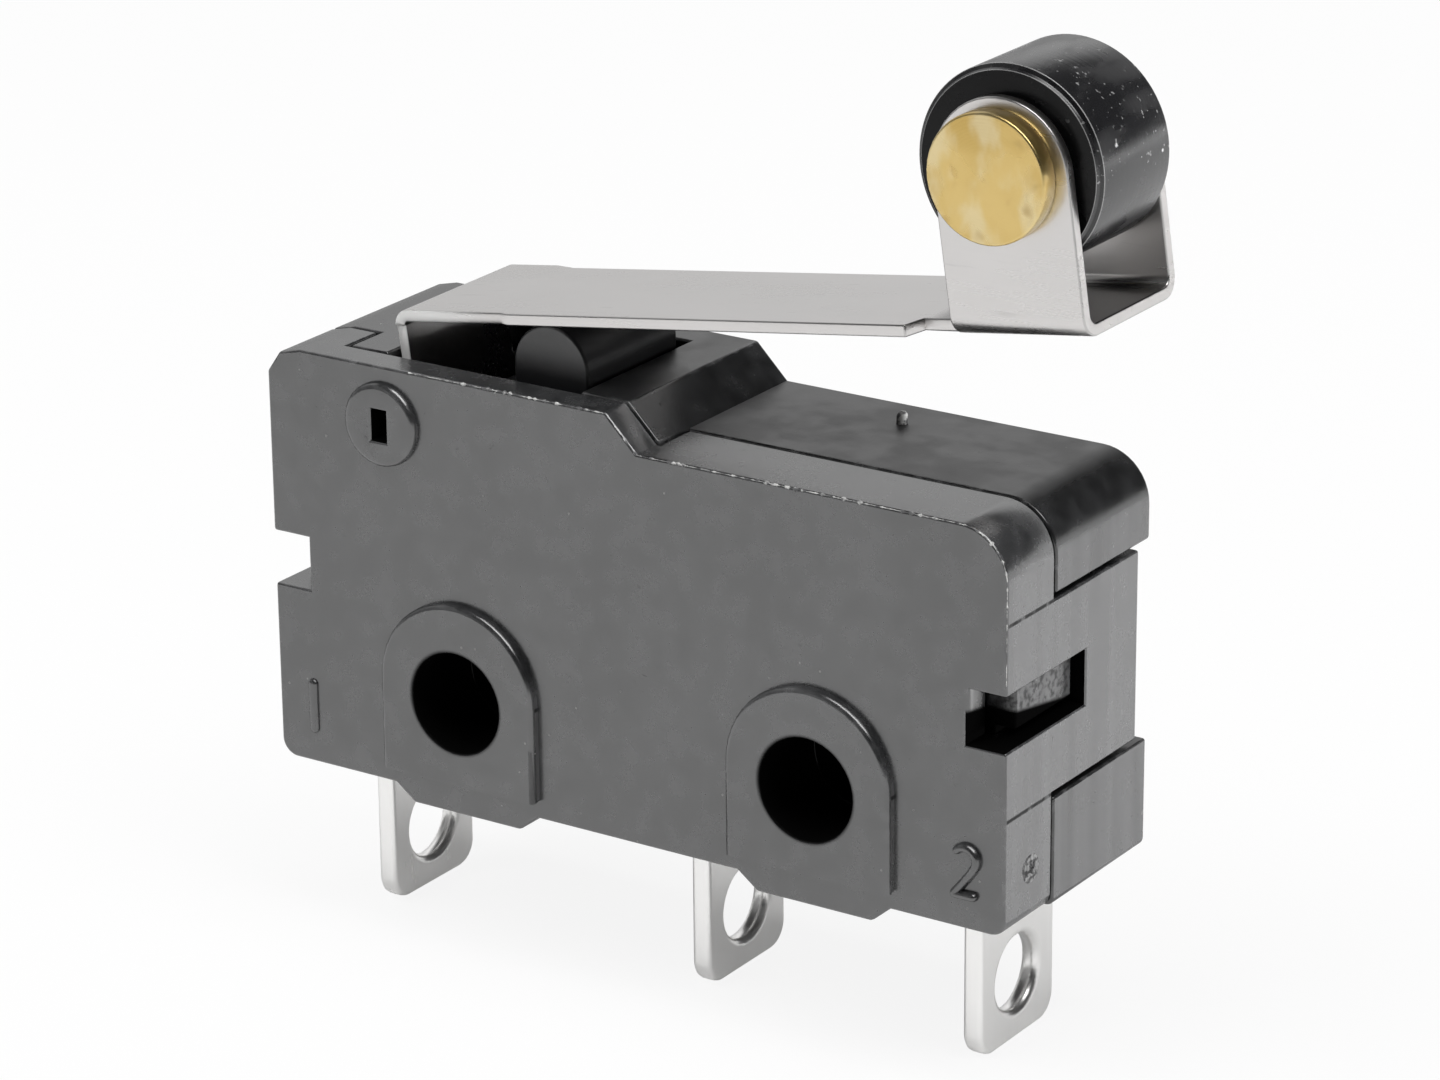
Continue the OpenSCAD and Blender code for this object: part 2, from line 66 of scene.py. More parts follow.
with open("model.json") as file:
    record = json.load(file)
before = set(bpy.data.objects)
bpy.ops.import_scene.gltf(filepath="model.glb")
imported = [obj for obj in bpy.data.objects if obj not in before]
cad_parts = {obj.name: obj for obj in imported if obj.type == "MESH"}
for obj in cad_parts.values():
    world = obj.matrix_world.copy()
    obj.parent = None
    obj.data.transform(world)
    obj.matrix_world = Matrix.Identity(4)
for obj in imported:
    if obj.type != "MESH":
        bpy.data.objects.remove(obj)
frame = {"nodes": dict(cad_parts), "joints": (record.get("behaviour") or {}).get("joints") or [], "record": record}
cad_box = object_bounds()

# %% [markdown]
# ## Landmarks
#
# Finishes and marks sit at places on the part: round the screw holes, on the front face, at the
# hinge. Typing such places again would let them drift from the CAD model, so they are read from
# the frame: holes and eyes from its mounts, the hinge and the roller's axis from its joints, and
# the outer faces from the box of the case. All but the roller's axis are in millimetres.

# %% Read the landmarks
MOUNTS = {mount["name"]: mount for mount in frame["record"]["mounts"]}
JOINTS = {joint["name"]: joint for joint in frame["joints"]}
HOLE_OUT = MOUNTS["mounting_holes"]["dims"]["spacing_x_mm"] / 2
EYE = Vector(MOUNTS["common_eye"]["pos_m"]).yz / MM
HINGE = Vector(JOINTS["lever_hinge"]["pos_m"]).xz / MM
ROLLER_AXIS = Vector(JOINTS["roller_spin"]["pos_m"])
RIGHT_END, BACK, HIGH_TOP = [float(reach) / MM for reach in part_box("case")[1]]
FRONT = -BACK
print("front, right end and top in mm:", [round(v, 3) for v in (FRONT, RIGHT_END, HIGH_TOP)])

# %% [markdown]
# ## The camera
#
# A photograph fixes where its camera stood: the edges of a box run to vanishing points, and the
# spacing of two holes gives the scale. The numbers here are that fit, as a place, a viewing
# direction and the direction of the picture's right-hand side. The lens follows from the focal
# length in pixels, because a sensor 36 mm wide is as wide as the picture's 1440 pixels.

# %% Place the camera
IMAGE_WIDTH = 1440
FOCAL_PIXELS = 5247
SENSOR_WIDTH = 36.0
NEAREST = 5 * MM
CAMERA_PLACE = Vector((62.27, -92.395, 44.58)) * MM
CAMERA_FORWARD = Vector((-0.5229, 0.7803, -0.3431)).normalized()
CAMERA_RIGHT = Vector((0.8326, 0.5537, -0.0096)).normalized()


def place_camera():
    """A camera looks along its own -Z with +Y up: its axes are right, right x forward, -forward."""
    data = bpy.data.cameras.new("camera")
    data.sensor_width = SENSOR_WIDTH
    data.lens = FOCAL_PIXELS / IMAGE_WIDTH * SENSOR_WIDTH
    data.clip_start = NEAREST
    camera = bpy.data.objects.new("camera", data)
    up = CAMERA_RIGHT.cross(CAMERA_FORWARD)
    turn = Matrix((CAMERA_RIGHT, up, -CAMERA_FORWARD)).transposed().to_4x4()
    camera.matrix_world = Matrix.Translation(CAMERA_PLACE) @ turn
    bpy.context.scene.collection.objects.link(camera)
    bpy.context.scene.camera = camera
    return camera


camera = place_camera()
print("lens in mm:", round(camera.data.lens, 1))

# %% [markdown]
# ## Arithmetic on shader sockets
#
# A finish is a small calculation that runs at every point of a surface. Wiring Math nodes by hand
# hides that calculation, so one class wraps a socket and teaches Python's operators to add the
# nodes: `1 - mask * 0.5` then reads like the formula it is.

# %% Wrap a socket


class Wire:
    """A number on its way from one shader node to the next. Arithmetic on it adds Math nodes."""

    def __init__(self, nodes, socket):
        self.nodes = nodes
        self.socket = socket

    def math(self, operation, first, second):
        """A Math node on two numbers or wires."""
        return self.nodes.make("ShaderNodeMath", {"operation": operation}, {0: first, 1: second})

    def __add__(self, other):
        return self.math("ADD", self, other)

    def __sub__(self, other):
        return self.math("SUBTRACT", self, other)

    def __rsub__(self, other):
        return self.math("SUBTRACT", other, self)

    def __mul__(self, other):
        return self.math("MULTIPLY", self, other)

    def __gt__(self, other):
        return self.math("GREATER_THAN", self, other)

    def __lt__(self, other):
        return self.math("LESS_THAN", self, other)

    def __abs__(self):
        return self.math("ABSOLUTE", self, 0.0)

    __radd__ = __add__
    __rmul__ = __mul__

    def ramp(self, low, high):
        """0 up to low, 1 from high on, and a smooth S between them."""
        sockets = {"Value": self, "From Min": low, "From Max": high}
        return self.nodes.make("ShaderNodeMapRange", {"interpolation_type": "SMOOTHSTEP"}, sockets)


def between(value, low, high):
    """1 where a number lies between two limits."""
    return (value > low) * (value < high)


print("sockets can be added, multiplied and compared")

# %% [markdown]
# ## Node trees
#
# Every node comes from one method, which sets the node's options before its sockets, because
# options decide which sockets there are. A finish adds what most materials share: coordinates of
# the piece itself, noise, specks, a bump, and the shader at the end. Those coordinates travel with
# the piece, so a pattern never slides over a surface that moves.

# %% Fill node trees
# Colour of painted shade: openings and shaded sides are painted this dull black.
SHADE_BLACK = 0.002


def rgb(red, green, blue):
    """A colour with the opaque alpha that colour sockets want."""
    return (red, green, blue, 1.0)


class Nodes:
    """An emptied node tree of a material or a world, filled one node at a time."""

    def __init__(self, owner):
        owner.use_nodes = True
        self.tree = owner.node_tree
        self.tree.nodes.clear()

    def make(self, kind, settings=None, sockets=None, out=0):
        """Adds a node: its settings first, then values or links for its sockets.
        Gives one output."""
        node = self.tree.nodes.new(kind)
        for name, value in (settings or {}).items():
            setattr(node, name, value)
        for name, value in (sockets or {}).items():
            if isinstance(value, Wire):
                self.tree.links.new(value.socket, node.inputs[name])
            else:
                node.inputs[name].default_value = value
        return Wire(self, node.outputs[out]) if node.outputs else None

    def axes(self, vector):
        """The three numbers of a vector."""
        return [self.make("ShaderNodeSeparateXYZ", None, {"Vector": vector}, out) for out in "XYZ"]

    def rays(self):
        """1 for rays of the camera, for mirrored rays and for rays through glass, in that order."""
        return [self.make("ShaderNodeLightPath", None, None, f"Is {kind} Ray")
                for kind in ("Camera", "Glossy", "Transmission")]


class Finish(Nodes):
    """A material on the piece's own coordinates, with patterns counted per millimetre."""

    def __init__(self, name):
        self.material = bpy.data.materials.new(name)
        super().__init__(self.material)
        self.place = self.make("ShaderNodeTexCoord", out="Object")

    def spread(self, per_mm, turn=(0, 0, 0)):
        """The piece's coordinates with a number of pattern cells per millimetre along each axis."""
        cells = per_mm if isinstance(per_mm, tuple) else (per_mm,) * 3
        scale = tuple(c / MM for c in cells)
        return self.make("ShaderNodeMapping", None,
                         {"Vector": self.place, "Rotation": turn, "Scale": scale})

    def noise(self, per_mm, detail=2.0, turn=(0, 0, 0)):
        """Soft cloudy numbers around 0.5."""
        sockets = {"Vector": self.spread(per_mm, turn), "Scale": 1.0, "Detail": detail}
        return self.make("ShaderNodeTexNoise", None, sockets, "Fac")

    def specks(self, per_mm, size, share, turn=(0, 0, 0)):
        """1 in round spots: the share of cells that get one, each up to size of its cell wide."""
        sockets = {"Vector": self.spread(per_mm, turn), "Scale": 1.0}
        near = self.make("ShaderNodeTexVoronoi", {"feature": "F1"}, sockets, "Distance")
        tint = self.make("ShaderNodeTexVoronoi", {"feature": "F1"}, sockets, "Color")
        lot = self.make("ShaderNodeSeparateColor", None, {"Color": tint}, "Red")
        return (1 - near.ramp(size * 0.5, size)) * (lot < share)

    def spot(self):
        """Where on the piece a point is, as X, Y and Z in millimetres."""
        return [number * (1 / MM) for number in self.axes(self.place)]

    def facing(self):
        """Which way the surface faces, as the X, Y and Z of its normal."""
        return self.axes(self.make("ShaderNodeNewGeometry", None, None, "Normal"))

    def attribute(self, name):
        """A number stored on the mesh, such as an edge's share of wear and painted highlight."""
        return self.make("ShaderNodeAttribute", {"attribute_name": name}, None, "Fac")

    def mix(self, first, second, mask):
        """A colour between first and second."""
        return self.make("ShaderNodeMix", {"data_type": "RGBA"}, {0: mask, 6: first, 7: second}, 2)

    def bump(self, height, depth_mm, strength=1.0):
        """A normal tilted by a height map whose full range is depth_mm."""
        sockets = {"Height": height, "Distance": depth_mm * MM, "Strength": strength}
        return self.make("ShaderNodeBump", None, sockets, "Normal")

    def surface(self, shade_where=None, **sockets):
        """Ends the material in a Principled shader, and paints shade as dull black where a mask says so.
        Socket names take spaces for underscores."""
        named = {name.replace("_", " "): value for name, value in sockets.items()}
        shader = self.make("ShaderNodeBsdfPrincipled", None, named)
        if shade_where is not None:
            dull = {"Base Color": rgb(SHADE_BLACK, SHADE_BLACK, SHADE_BLACK),
                    "Roughness": 0.9, "Specular IOR Level": 0.0}
            black = self.make("ShaderNodeBsdfPrincipled", None, dull)
            shader = self.make("ShaderNodeMixShader", None, {0: shade_where, 1: shader, 2: black})
        self.make("ShaderNodeOutputMaterial", None, {"Surface": shader})
        return self.material


print("node trees ready")

# %% [markdown]
# ## The floor
#
# Small parts are photographed on a white table. The floor is one flat disc just under the
# terminals. To the lamps it is plain white paper, and to the camera it is nearly pure white, while
# a faint shadow stays. A Light Path node tells those rays apart. In mirrors the paper glows only
# about a fifth as much, so a shiny terminal still shows the shadow that it stands in.

# %% Lay the floor
FLOOR_RADIUS = 2.5
FLOOR_CORNERS = 48
FLOOR_GAP = 0.02 * MM
CAMERA_GLOW = 0.88
MIRROR_GLOW = 0.18
PAPER_TONES = (rgb(0.80, 0.80, 0.80), rgb(0.84, 0.84, 0.84))


def floor_disc(height):
    """A flat disc: points at one radius and evenly spaced angles, joined as a single face."""
    angle = np.linspace(0, 2 * np.pi, FLOOR_CORNERS, endpoint=False)
    ring = np.stack([np.cos(angle), np.sin(angle)], 1) * FLOOR_RADIUS
    points = np.column_stack([ring, np.full(len(ring), height)])
    mesh = bpy.data.meshes.new("floor")
    mesh.from_pydata(points.tolist(), [], [list(range(len(ring)))])
    floor = bpy.data.objects.new("floor", mesh)
    bpy.context.scene.collection.objects.link(floor)
    return floor


def paper_white():
    """Diffuse paper that looks almost self-lit to the camera and much less so in mirrors."""
    paper = Finish("white_table")
    seen, shiny, clear = paper.rays()
    tone = paper.mix(*PAPER_TONES, paper.noise(0.02))
    matte = paper.make("ShaderNodeBsdfDiffuse", None, {"Color": tone})
    glow = paper.make("ShaderNodeEmission", None, {"Color": rgb(1, 1, 1), "Strength": 1.0})
    share = (seen + clear) * CAMERA_GLOW + shiny * MIRROR_GLOW
    both = paper.make("ShaderNodeMixShader", None, {0: share, 1: matte, 2: glow})
    paper.make("ShaderNodeOutputMaterial", None, {"Surface": both})
    return paper.material


floor = floor_disc(cad_box[0][2] - FLOOR_GAP)
floor.data.materials.append(paper_white())
print("floor at z =", round(cad_box[0][2] / MM, 2), "mm")

# %% [markdown]
# ## The studio in the reflections
#
# Dark plastic shows little colour of its own, so most of what the eye sees on it is the room. The
# world gives a little even light and is white to the camera. In reflections it is a studio: grey
# at the table, white above it, dim towards the upper right, and dimmer in front than behind. That
# is why the top, the end and the front of one grey part look like three different greys.

# %% Make the world
WORLD_FILL = 0.15
STUDIO_TABLE, STUDIO_WHITE, STUDIO_DIM = 0.65, 1.0, 0.05
STUDIO_TILT = 0.8
STUDIO_FRONT = 0.28
TABLE_EDGE, DIM_EDGE, FRONT_EDGE = (-0.27, -0.10), (0.18, 0.40), (-0.35, 0.25)


def studio_world():
    """Even fill, white for the camera, and in mirrors a brightness that changes with direction:
    with climb = Z + tilt X it rises at the table's edge, falls at the dim edge, fades in front."""
    world = bpy.data.worlds.new("studio")
    bpy.context.scene.world = world
    sky = Nodes(world)
    right, back, height = sky.axes(sky.make("ShaderNodeTexCoord", out="Generated"))
    climb = height + right * STUDIO_TILT
    rise = climb.ramp(*TABLE_EDGE) * (STUDIO_WHITE - STUDIO_TABLE)
    fall = climb.ramp(*DIM_EDGE) * (STUDIO_WHITE - STUDIO_DIM)
    mirror = STUDIO_TABLE + rise - fall
    mirror = mirror * (STUDIO_FRONT + back.ramp(*FRONT_EDGE) * (1 - STUDIO_FRONT))
    seen, shiny, clear = sky.rays()
    other = 1 - (seen + shiny + clear)
    strength = seen + clear + shiny * mirror + other * WORLD_FILL
    light = sky.make("ShaderNodeBackground", None, {"Color": rgb(1, 1, 1), "Strength": strength})
    sky.make("ShaderNodeOutputWorld", None, {"Surface": light})
    return world


world = studio_world()
print("world:", world.name)

# %% [markdown]
# ## Lamps
#
# Three soft boxes light the part: one above on the right, one in front on the left, and a long
# narrow strip low behind the right end, which lights mostly that end. Only the upper box is
# mirrored in the part. The other two would leave bright bars on the plastic.

# %% Hang the lamps
MIDDLE = (0.0, 0.0, 0.003)
LAMPS = (("top_box", (0.14, -0.03, 0.38), (0.18, 0.36), 5.0, True),
         ("front_box", (-0.15, -0.19, 0.37), (0.30, 0.30), 4.4, False),
         ("end_strip", (0.25, 0.18, 0.008), (0.40, 0.036), 36.0, False))


def soft_box(name, place, size, radiance, mirrored):
    """A rectangular lamp facing the part's middle; its power is radiance x area x pi."""
    data = bpy.data.lights.new(name, "AREA")
    data.shape = "RECTANGLE"
    data.size, data.size_y = size
    data.energy = radiance * size[0] * size[1] * math.pi
    lamp = bpy.data.objects.new(name, data)
    lamp.location = place
    lamp.rotation_euler = (Vector(MIDDLE) - Vector(place)).to_track_quat("-Z", "Y").to_euler()
    lamp.visible_camera = False
    lamp.visible_glossy = mirrored
    bpy.context.scene.collection.objects.link(lamp)
    return lamp


lamps = [soft_box(*lamp) for lamp in LAMPS]
bpy.context.scene.view_settings.view_transform = "Standard"
print("lamps:", [lamp.name for lamp in lamps])

# %% [markdown]
# ## Painted shade in the openings
#
# The screw holes, the slot of the hinge disc and the latch window on the right end look quite
# black on the real switch, because hardly any light finds its way back out. The lamps here leave
# them grey. So masks made from a point's place on the part mark those openings, and the finish
# paints shade there as dull black. In the window the case's latch shows as a paler wedge above
# that painted shade.

# %% Mark the openings
BORE_EDGE = (1.45, 1.75)
SLOT_HALF_X, SLOT_HALF_Z, SLOT_SINK = 0.22, 0.46, 0.17
LATCH_BACK, LATCH_LOW, LATCH_RISE, LATCH_SOFT = 0.19, 2.08, 0.165, 0.06
WINDOW_X, WINDOW_Y, WINDOW_Z = (8.6, 9.66), (FRONT + 0.02, LATCH_BACK + 0.2), (1.80, 3.12)
LIP_HALF = 0.15


def hole_mask(x, z):
    """1 in the two screw holes: the square of the distance from an axis is under BORE_EDGE."""
    side = abs(x) - HOLE_OUT
    return 1 - (side * side + z * z).ramp(*BORE_EDGE)


def slot_mask(x, y, z):
    """1 in the slot of the hinge disc, behind the disc's own face."""
    wide = between(x, HINGE.x - SLOT_HALF_X, HINGE.x + SLOT_HALF_X)
    tall = between(z, HINGE.y - SLOT_HALF_Z, HINGE.y + SLOT_HALF_Z)
    return wide * tall * (y > FRONT - SLOT_SINK)


def window_masks(x, y, z):
    """The latch window: its depth for painted shade, the latch above a slanting line, and the lip on
    its left for painted light.
    """
    inside = between(x, *WINDOW_X) * between(z, *WINDOW_Z) * between(y, *WINDOW_Y)
    line = z + (y - LATCH_BACK) * LATCH_RISE
    above = line.ramp(LATCH_LOW - LATCH_SOFT, LATCH_LOW + LATCH_SOFT)
    deep_shade = inside * (1 - above * (y < LATCH_BACK))
    latch = (inside - deep_shade) * (x > WINDOW_X[0] + LIP_HALF)
    lip = between(x, WINDOW_X[0] - LIP_HALF, WINDOW_X[0] + LIP_HALF) * between(z, *WINDOW_Z)
    return deep_shade, latch, lip


print("masks: screw holes at", HOLE_OUT, "mm, hinge slot, latch window")

# %% [markdown]
# ## Moulded plastic
#
# The case and cover are dark grey glass-filled plastic. Up close it is not one grey: the melt
# leaves faint clouds, the tool leaves a fine grain and tiny pits, and dust and rubbed spots catch
# the light. Clouds drive the colour, grain and pits drive the bump, and outer edges, which are
# marked on the mesh, are a little paler, partly rubbed and partly a painted highlight. The end
# faces are painted paler as painted light, and carry upright draw marks from leaving the mould. So
# a stretched noise is shown only where the surface faces along X. The cover also has two thin dark
# lines on each end, where a slide of the mould met the rest, and the top of the case is duller
# than its sides. The left lip of the latch window is painted paler as lit at its top.

# %% Mix the grey plastics
SLIDE_LINES = (4.74, 0.24)
LINE_EDGE = (0.0006, 0.0030)
# End grey paints light on the end faces; rubbed grey tints edges for wear and painted highlight.
END_LIT_GREY, RUBBED_AND_SHEEN_GREY = rgb(0.115, 0.115, 0.117), rgb(0.20, 0.20, 0.205)
PIT_BLACK, DUST_GREY = rgb(0.008, 0.008, 0.009), rgb(0.30, 0.30, 0.29)
# Painted light: the window's left lip is painted paler at its top, as lit, and fades to shade below.
LIP_LIT_GREY = rgb(0.24, 0.24, 0.24)
LIP_LIGHT_FADE = (2.25, 2.75)
DULL_FROM = (-6.0, -1.0)


def slide_mask(grey, z, levels):
    """Broken lines at some heights: 1 close to a level, times a noise that opens gaps."""
    mask = 0.0
    for level in levels:
        off = z - level
        gaps = grey.noise((1.0, 3.0, 3.0), 2.0).ramp(0.20, 0.50)
        mask = mask + (1 - (off * off).ramp(*LINE_EDGE)) * gaps * 0.8
    return mask


def moulded_grey(name, dark, pale, gloss, ior, dull_top, slide_lines=()):
    """Clouded satin plastic with grain, pits, dust, edges pale from rubbing and painted highlight,
    painted light on the ends and the window's lip, and painted shade in its openings.
    """
    grey = Finish(name)
    x, y, z = grey.spot()
    along, _, upward = grey.facing()
    wear_and_sheen = grey.attribute("wear_and_sheen")
    ends = (along * along).ramp(0.94, 0.99)
    mottle = grey.noise(1.7, 2.0)
    grain = grey.noise(12.0, 2.0)
    patch = grey.noise(0.8, 2.0).ramp(0.40, 0.62)
    draw = grey.noise((0.5, 1.8, 0.10), 1.0) - 0.5
    pits = grey.noise(6.0, 2.0).ramp(0.70, 0.76) * patch
    dust = grey.specks(2.2, 0.075, 0.30, (0.3, 0.2, 0.1)) * (1 - ends)
    rub_and_sheen = grey.noise(3.0, 3.0).ramp(0.45, 0.7) * wear_and_sheen
    clouds = (grey.noise(0.30, 3.0) * 0.4 + mottle * 0.6).ramp(0.30, 0.70)
    deep_shade, latch, lip = window_masks(x, y, z)
    rasp = grey.noise(7.0, 2.0).ramp(0.42, 0.66) * latch * 0.55
    split = slide_mask(grey, z, slide_lines) * ends
    tone = grey.mix(dark, pale, clouds + draw * ends * 0.8)
    # Painted light: faces along X, the ends, are painted paler, with the draw marks in it.
    tone = grey.mix(tone, END_LIT_GREY, ends * (0.60 + draw * 0.6))
    # Rubbing and painted highlight: rounded edges are tinted paler.
    tone = grey.mix(tone, RUBBED_AND_SHEEN_GREY, rub_and_sheen * 0.22)
    tone = grey.mix(tone, PIT_BLACK, pits * 0.6)
    tone = grey.mix(tone, DUST_GREY, dust * 0.6)
    # Painted light on the window's lip, fading to painted shade downwards.
    tone = grey.mix(tone, LIP_LIT_GREY, lip * ends * z.ramp(*LIP_LIGHT_FADE))
    relief = (grain * 0.2 + mottle * 0.6 + dust * 0.4 - pits * 0.8) * (1 - ends * 0.95)
    rough = gloss + mottle * 0.10 + grain * 0.03 + draw * ends * 0.08 + dust * 0.2 - wear_and_sheen * 0.07
    rough = rough + upward.ramp(0.85, 1.0) * x.ramp(*DULL_FROM) * (0.8 + patch * 0.4) * dull_top
    # Painted shade: holes, hinge slot and window depth turn dull black; the slide lines and the latch's pits join
    # that mask.
    open_to_light = (1 - hole_mask(x, z)) * (1 - deep_shade) * (1 - slot_mask(x, y, z))
    shade_and_dark_marks = 1 - open_to_light * (1 - split) * (1 - rasp)
    return grey.surface(shade_and_dark_marks, Base_Color=tone, Roughness=rough, IOR=ior,
                        Normal=grey.bump(relief, 0.012, 0.4))


COVER_GREY = moulded_grey("cover_grey", rgb(0.012, 0.0123, 0.013), rgb(0.040, 0.0405, 0.042),
                          gloss=0.20, ior=2.15, dull_top=0.0, slide_lines=SLIDE_LINES)
CASE_GREY = moulded_grey("case_grey", rgb(0.004, 0.0041, 0.0044), rgb(0.017, 0.0173, 0.018),
                         gloss=0.19, ior=1.85, dull_top=0.16)
print("grey plastics:", COVER_GREY.name, CASE_GREY.name)

# %% [markdown]
# ## Torn and black plastic
#
# Where plastic breaks or squeezes out it goes white, as crumbs in grey. The roller is black plastic
# that was turned, so it has fine rings round its axis, scuffs, and a scatter of white flecks on one
# side of its tread. Its flat faces, in the shade of the fork, get painted shade as dull black, and
# its rims are pale, partly rubbed and partly a painted highlight. The plunger is dark and glossy,
# and its side that faces right, in the lever's shade, gets painted shade as dull black. Noise in
# the right direction gives all these marks without a picture, and a mask from the surface's
# direction paints that shade.

# %% Mix the other plastics
FLECK_FROM = 24.3
BLACK_TONES = (rgb(0.006, 0.006, 0.007), rgb(0.018, 0.018, 0.019))
# Rim grey is rubbing and a painted highlight; the flecks are real.
RIM_RUB_AND_SHEEN_GREY, FLECK_WHITE = rgb(0.26, 0.26, 0.26), rgb(0.60, 0.60, 0.60)
PLUNGER_TONES = (rgb(0.006, 0.006, 0.007), rgb(0.014, 0.014, 0.015))
BLACK_IOR = 1.85


def torn_plastic(name, dark, pale):
    """Plastic torn white where it broke or squeezed out: pale crumbs in grey."""
    torn = Finish(name)
    crumb = torn.noise(7.0, 2.0).ramp(0.42, 0.62)
    return torn.surface(Base_Color=torn.mix(dark, pale, crumb), Roughness=0.35 + crumb * 0.2,
                        Normal=torn.bump(crumb, 0.01, 0.4))


def roller_black():
    """Turned black plastic: rings of tool marks, scuffs, and flecks where X + Z is large."""
    black = Finish("roller_black")
    x, _, z = black.spot()
    _, face, _ = black.facing()
    rings = black.noise((0.6, 14.0, 0.6), 2.0)
    scuff = black.noise((1.4, 0.5, 1.4), 4.0).ramp(0.48, 0.70)
    patch = black.noise(0.8, 2.0).ramp(0.38, 0.58) * (x + z - FLECK_FROM).ramp(0.0, 1.2)
    fleck = black.noise(8.0, 2.0).ramp(0.65, 0.73) * patch
    chip = black.specks(2.4, 0.16, 0.4, (0.5, 0.1, 0.3)) * patch * black.noise(9.0).ramp(0.42, 0.52)
    tone = black.mix(*BLACK_TONES, scuff)
    # Rubbing and painted highlight: the rims are tinted pale.
    tone = black.mix(tone, RIM_RUB_AND_SHEEN_GREY, black.attribute("wear_and_sheen") * 0.9)
    tone = black.mix(tone, FLECK_WHITE, fleck * 0.30 + chip * 0.8)
    rough = 0.24 + scuff * 0.12 + fleck * 0.15 + chip * 0.2
    relief = rings * 0.6 + scuff * 0.3 + fleck * 0.6 + chip
    # Painted shade: the flat faces, which face along Y, turn partly dull black.
    return black.surface((face * face).ramp(0.6, 0.95) * 0.8, Base_Color=tone, Roughness=rough,
                         IOR=BLACK_IOR, Normal=black.bump(relief, 0.010, 0.4))


def plunger_black():
    """Dark glossy plastic with slide marks along Y, and painted shade, dull black, on the side that
    faces along +X.
    """
    dark = Finish("plunger_black")
    along, _, _ = dark.facing()
    cloud = dark.noise(1.2, 3.0)
    slide = dark.noise((7.0, 0.4, 7.0), 2.0)
    # Painted shade: the side facing +X, under the lever, turns mostly dull black.
    return dark.surface(along.ramp(0.0, 0.5) * 0.75, Base_Color=dark.mix(*PLUNGER_TONES, cloud),
                        Roughness=0.26 + slide * 0.14 + cloud * 0.06, IOR=BLACK_IOR,
                        Normal=dark.bump(slide * 0.6 + cloud * 0.4, 0.006, 0.3))


TORN_EDGE = torn_plastic("torn_edge", rgb(0.10, 0.10, 0.103), rgb(0.55, 0.55, 0.54))
TORN_GATE = torn_plastic("torn_gate", rgb(0.03, 0.03, 0.031), rgb(0.20, 0.20, 0.20))
ROLLER_BLACK = roller_black()
PLUNGER_BLACK = plunger_black()
print("other plastics:", TORN_EDGE.name, TORN_GATE.name, ROLLER_BLACK.name, PLUNGER_BLACK.name)

# %% [markdown]
# ## Rolled steel
#
# Rolled strip keeps the lines of the rolls along its length, so the steel's noise is stretched
# along X. Three places differ. The lever's hinge tongue was sheared, and its front edge is broken
# rather than mirror-like, and painted pale as a painted highlight. The inside of the tongue's bend
# gets painted shade. The floor of the fork, close under the black roller, is smooth and gets a
# painted dark reflection of the roller. The steel's rounded edges are also painted darker, as a
# painted dark reflection. Masks from place and direction pick out the three, so the lever stays
# one piece with one finish.

# %% Mix the lever's steel
TONGUE_X = (-6.2, -4.4)
FORK_X, FORK_Z = (6.6, 7.2), (11.0, 11.4)
FACING = (0.5, 0.9)
STEEL_TONES = (rgb(0.63, 0.614, 0.604), rgb(0.72, 0.704, 0.694))
# Scratch grey also paints shade in the bend; edge grey paints a dark reflection along the edges.
SCRATCH_AND_SHADE_GREY, EDGE_REFLECTION_GREY = rgb(0.30, 0.30, 0.30), rgb(0.42, 0.415, 0.41)
# Painted highlight for the sheared edge, and painted dark reflection for the fork floor.
SHEAR_HIGHLIGHT_WHITE, FORK_FLOOR_REFLECTION_DARK = rgb(0.80, 0.80, 0.79), rgb(0.10, 0.10, 0.10)


def rolled_steel():
    """Stainless strip: long fine lines, slow clouds, and the tongue, bend and fork floor apart."""
    steel = Finish("rolled_steel")
    x, _, z = steel.spot()
    along, across, up = steel.facing()
    lines = steel.noise((0.10, 9.0, 9.0), 2.0)
    cloud = steel.noise((0.25, 0.5, 0.5), 2.0)
    scratch = steel.noise((0.5, 7.0, 7.0), 1.0, (0.0, 0.1, 0.35)).ramp(0.70, 0.78)
    # Where the fork's floor takes a painted dark reflection of the roller.
    floor = x.ramp(*FORK_X) * (1 - z.ramp(*FORK_Z)) * up.ramp(*FACING)
    tongue = 1 - x.ramp(*TONGUE_X)
    # Where the tongue's sheared front edge gets a painted highlight.
    shear = tongue * (0 - across).ramp(*FACING)
    # Where the inside of the tongue's bend, under the lever, gets painted shade.
    bend = tongue * along.ramp(*FACING)
    tone = steel.mix(*STEEL_TONES, cloud * 0.8 + lines * 0.2)
    tone = steel.mix(tone, SCRATCH_AND_SHADE_GREY, scratch * 0.12)
    # Painted dark reflection: the steel's rounded edges are tinted darker.
    tone = steel.mix(tone, EDGE_REFLECTION_GREY, steel.attribute("wear_and_sheen") * 0.5)
    # Painted shade inside the bend, in the scratch grey.
    tone = steel.mix(tone, SCRATCH_AND_SHADE_GREY, bend * 0.25)
    # Painted highlight: the sheared edge is painted pale and mostly not metallic.
    tone = steel.mix(tone, SHEAR_HIGHLIGHT_WHITE, shear * 0.9)
    # Painted reflection: the fork's floor gets the dark of the black roller above it.
    tone = steel.mix(tone, FORK_FLOOR_REFLECTION_DARK, floor * 0.7)
    rough = 0.24 + lines * 0.03 + cloud * 0.05 + scratch * 0.05 - floor * 0.10
    return steel.surface(Base_Color=tone, Metallic=1 - shear * 0.8, Roughness=rough,
                         Normal=steel.bump(lines * 0.3 + cloud * 0.5 - scratch * 0.2, 0.002, 0.05))


STEEL = rolled_steel()
print("lever:", STEEL.name)

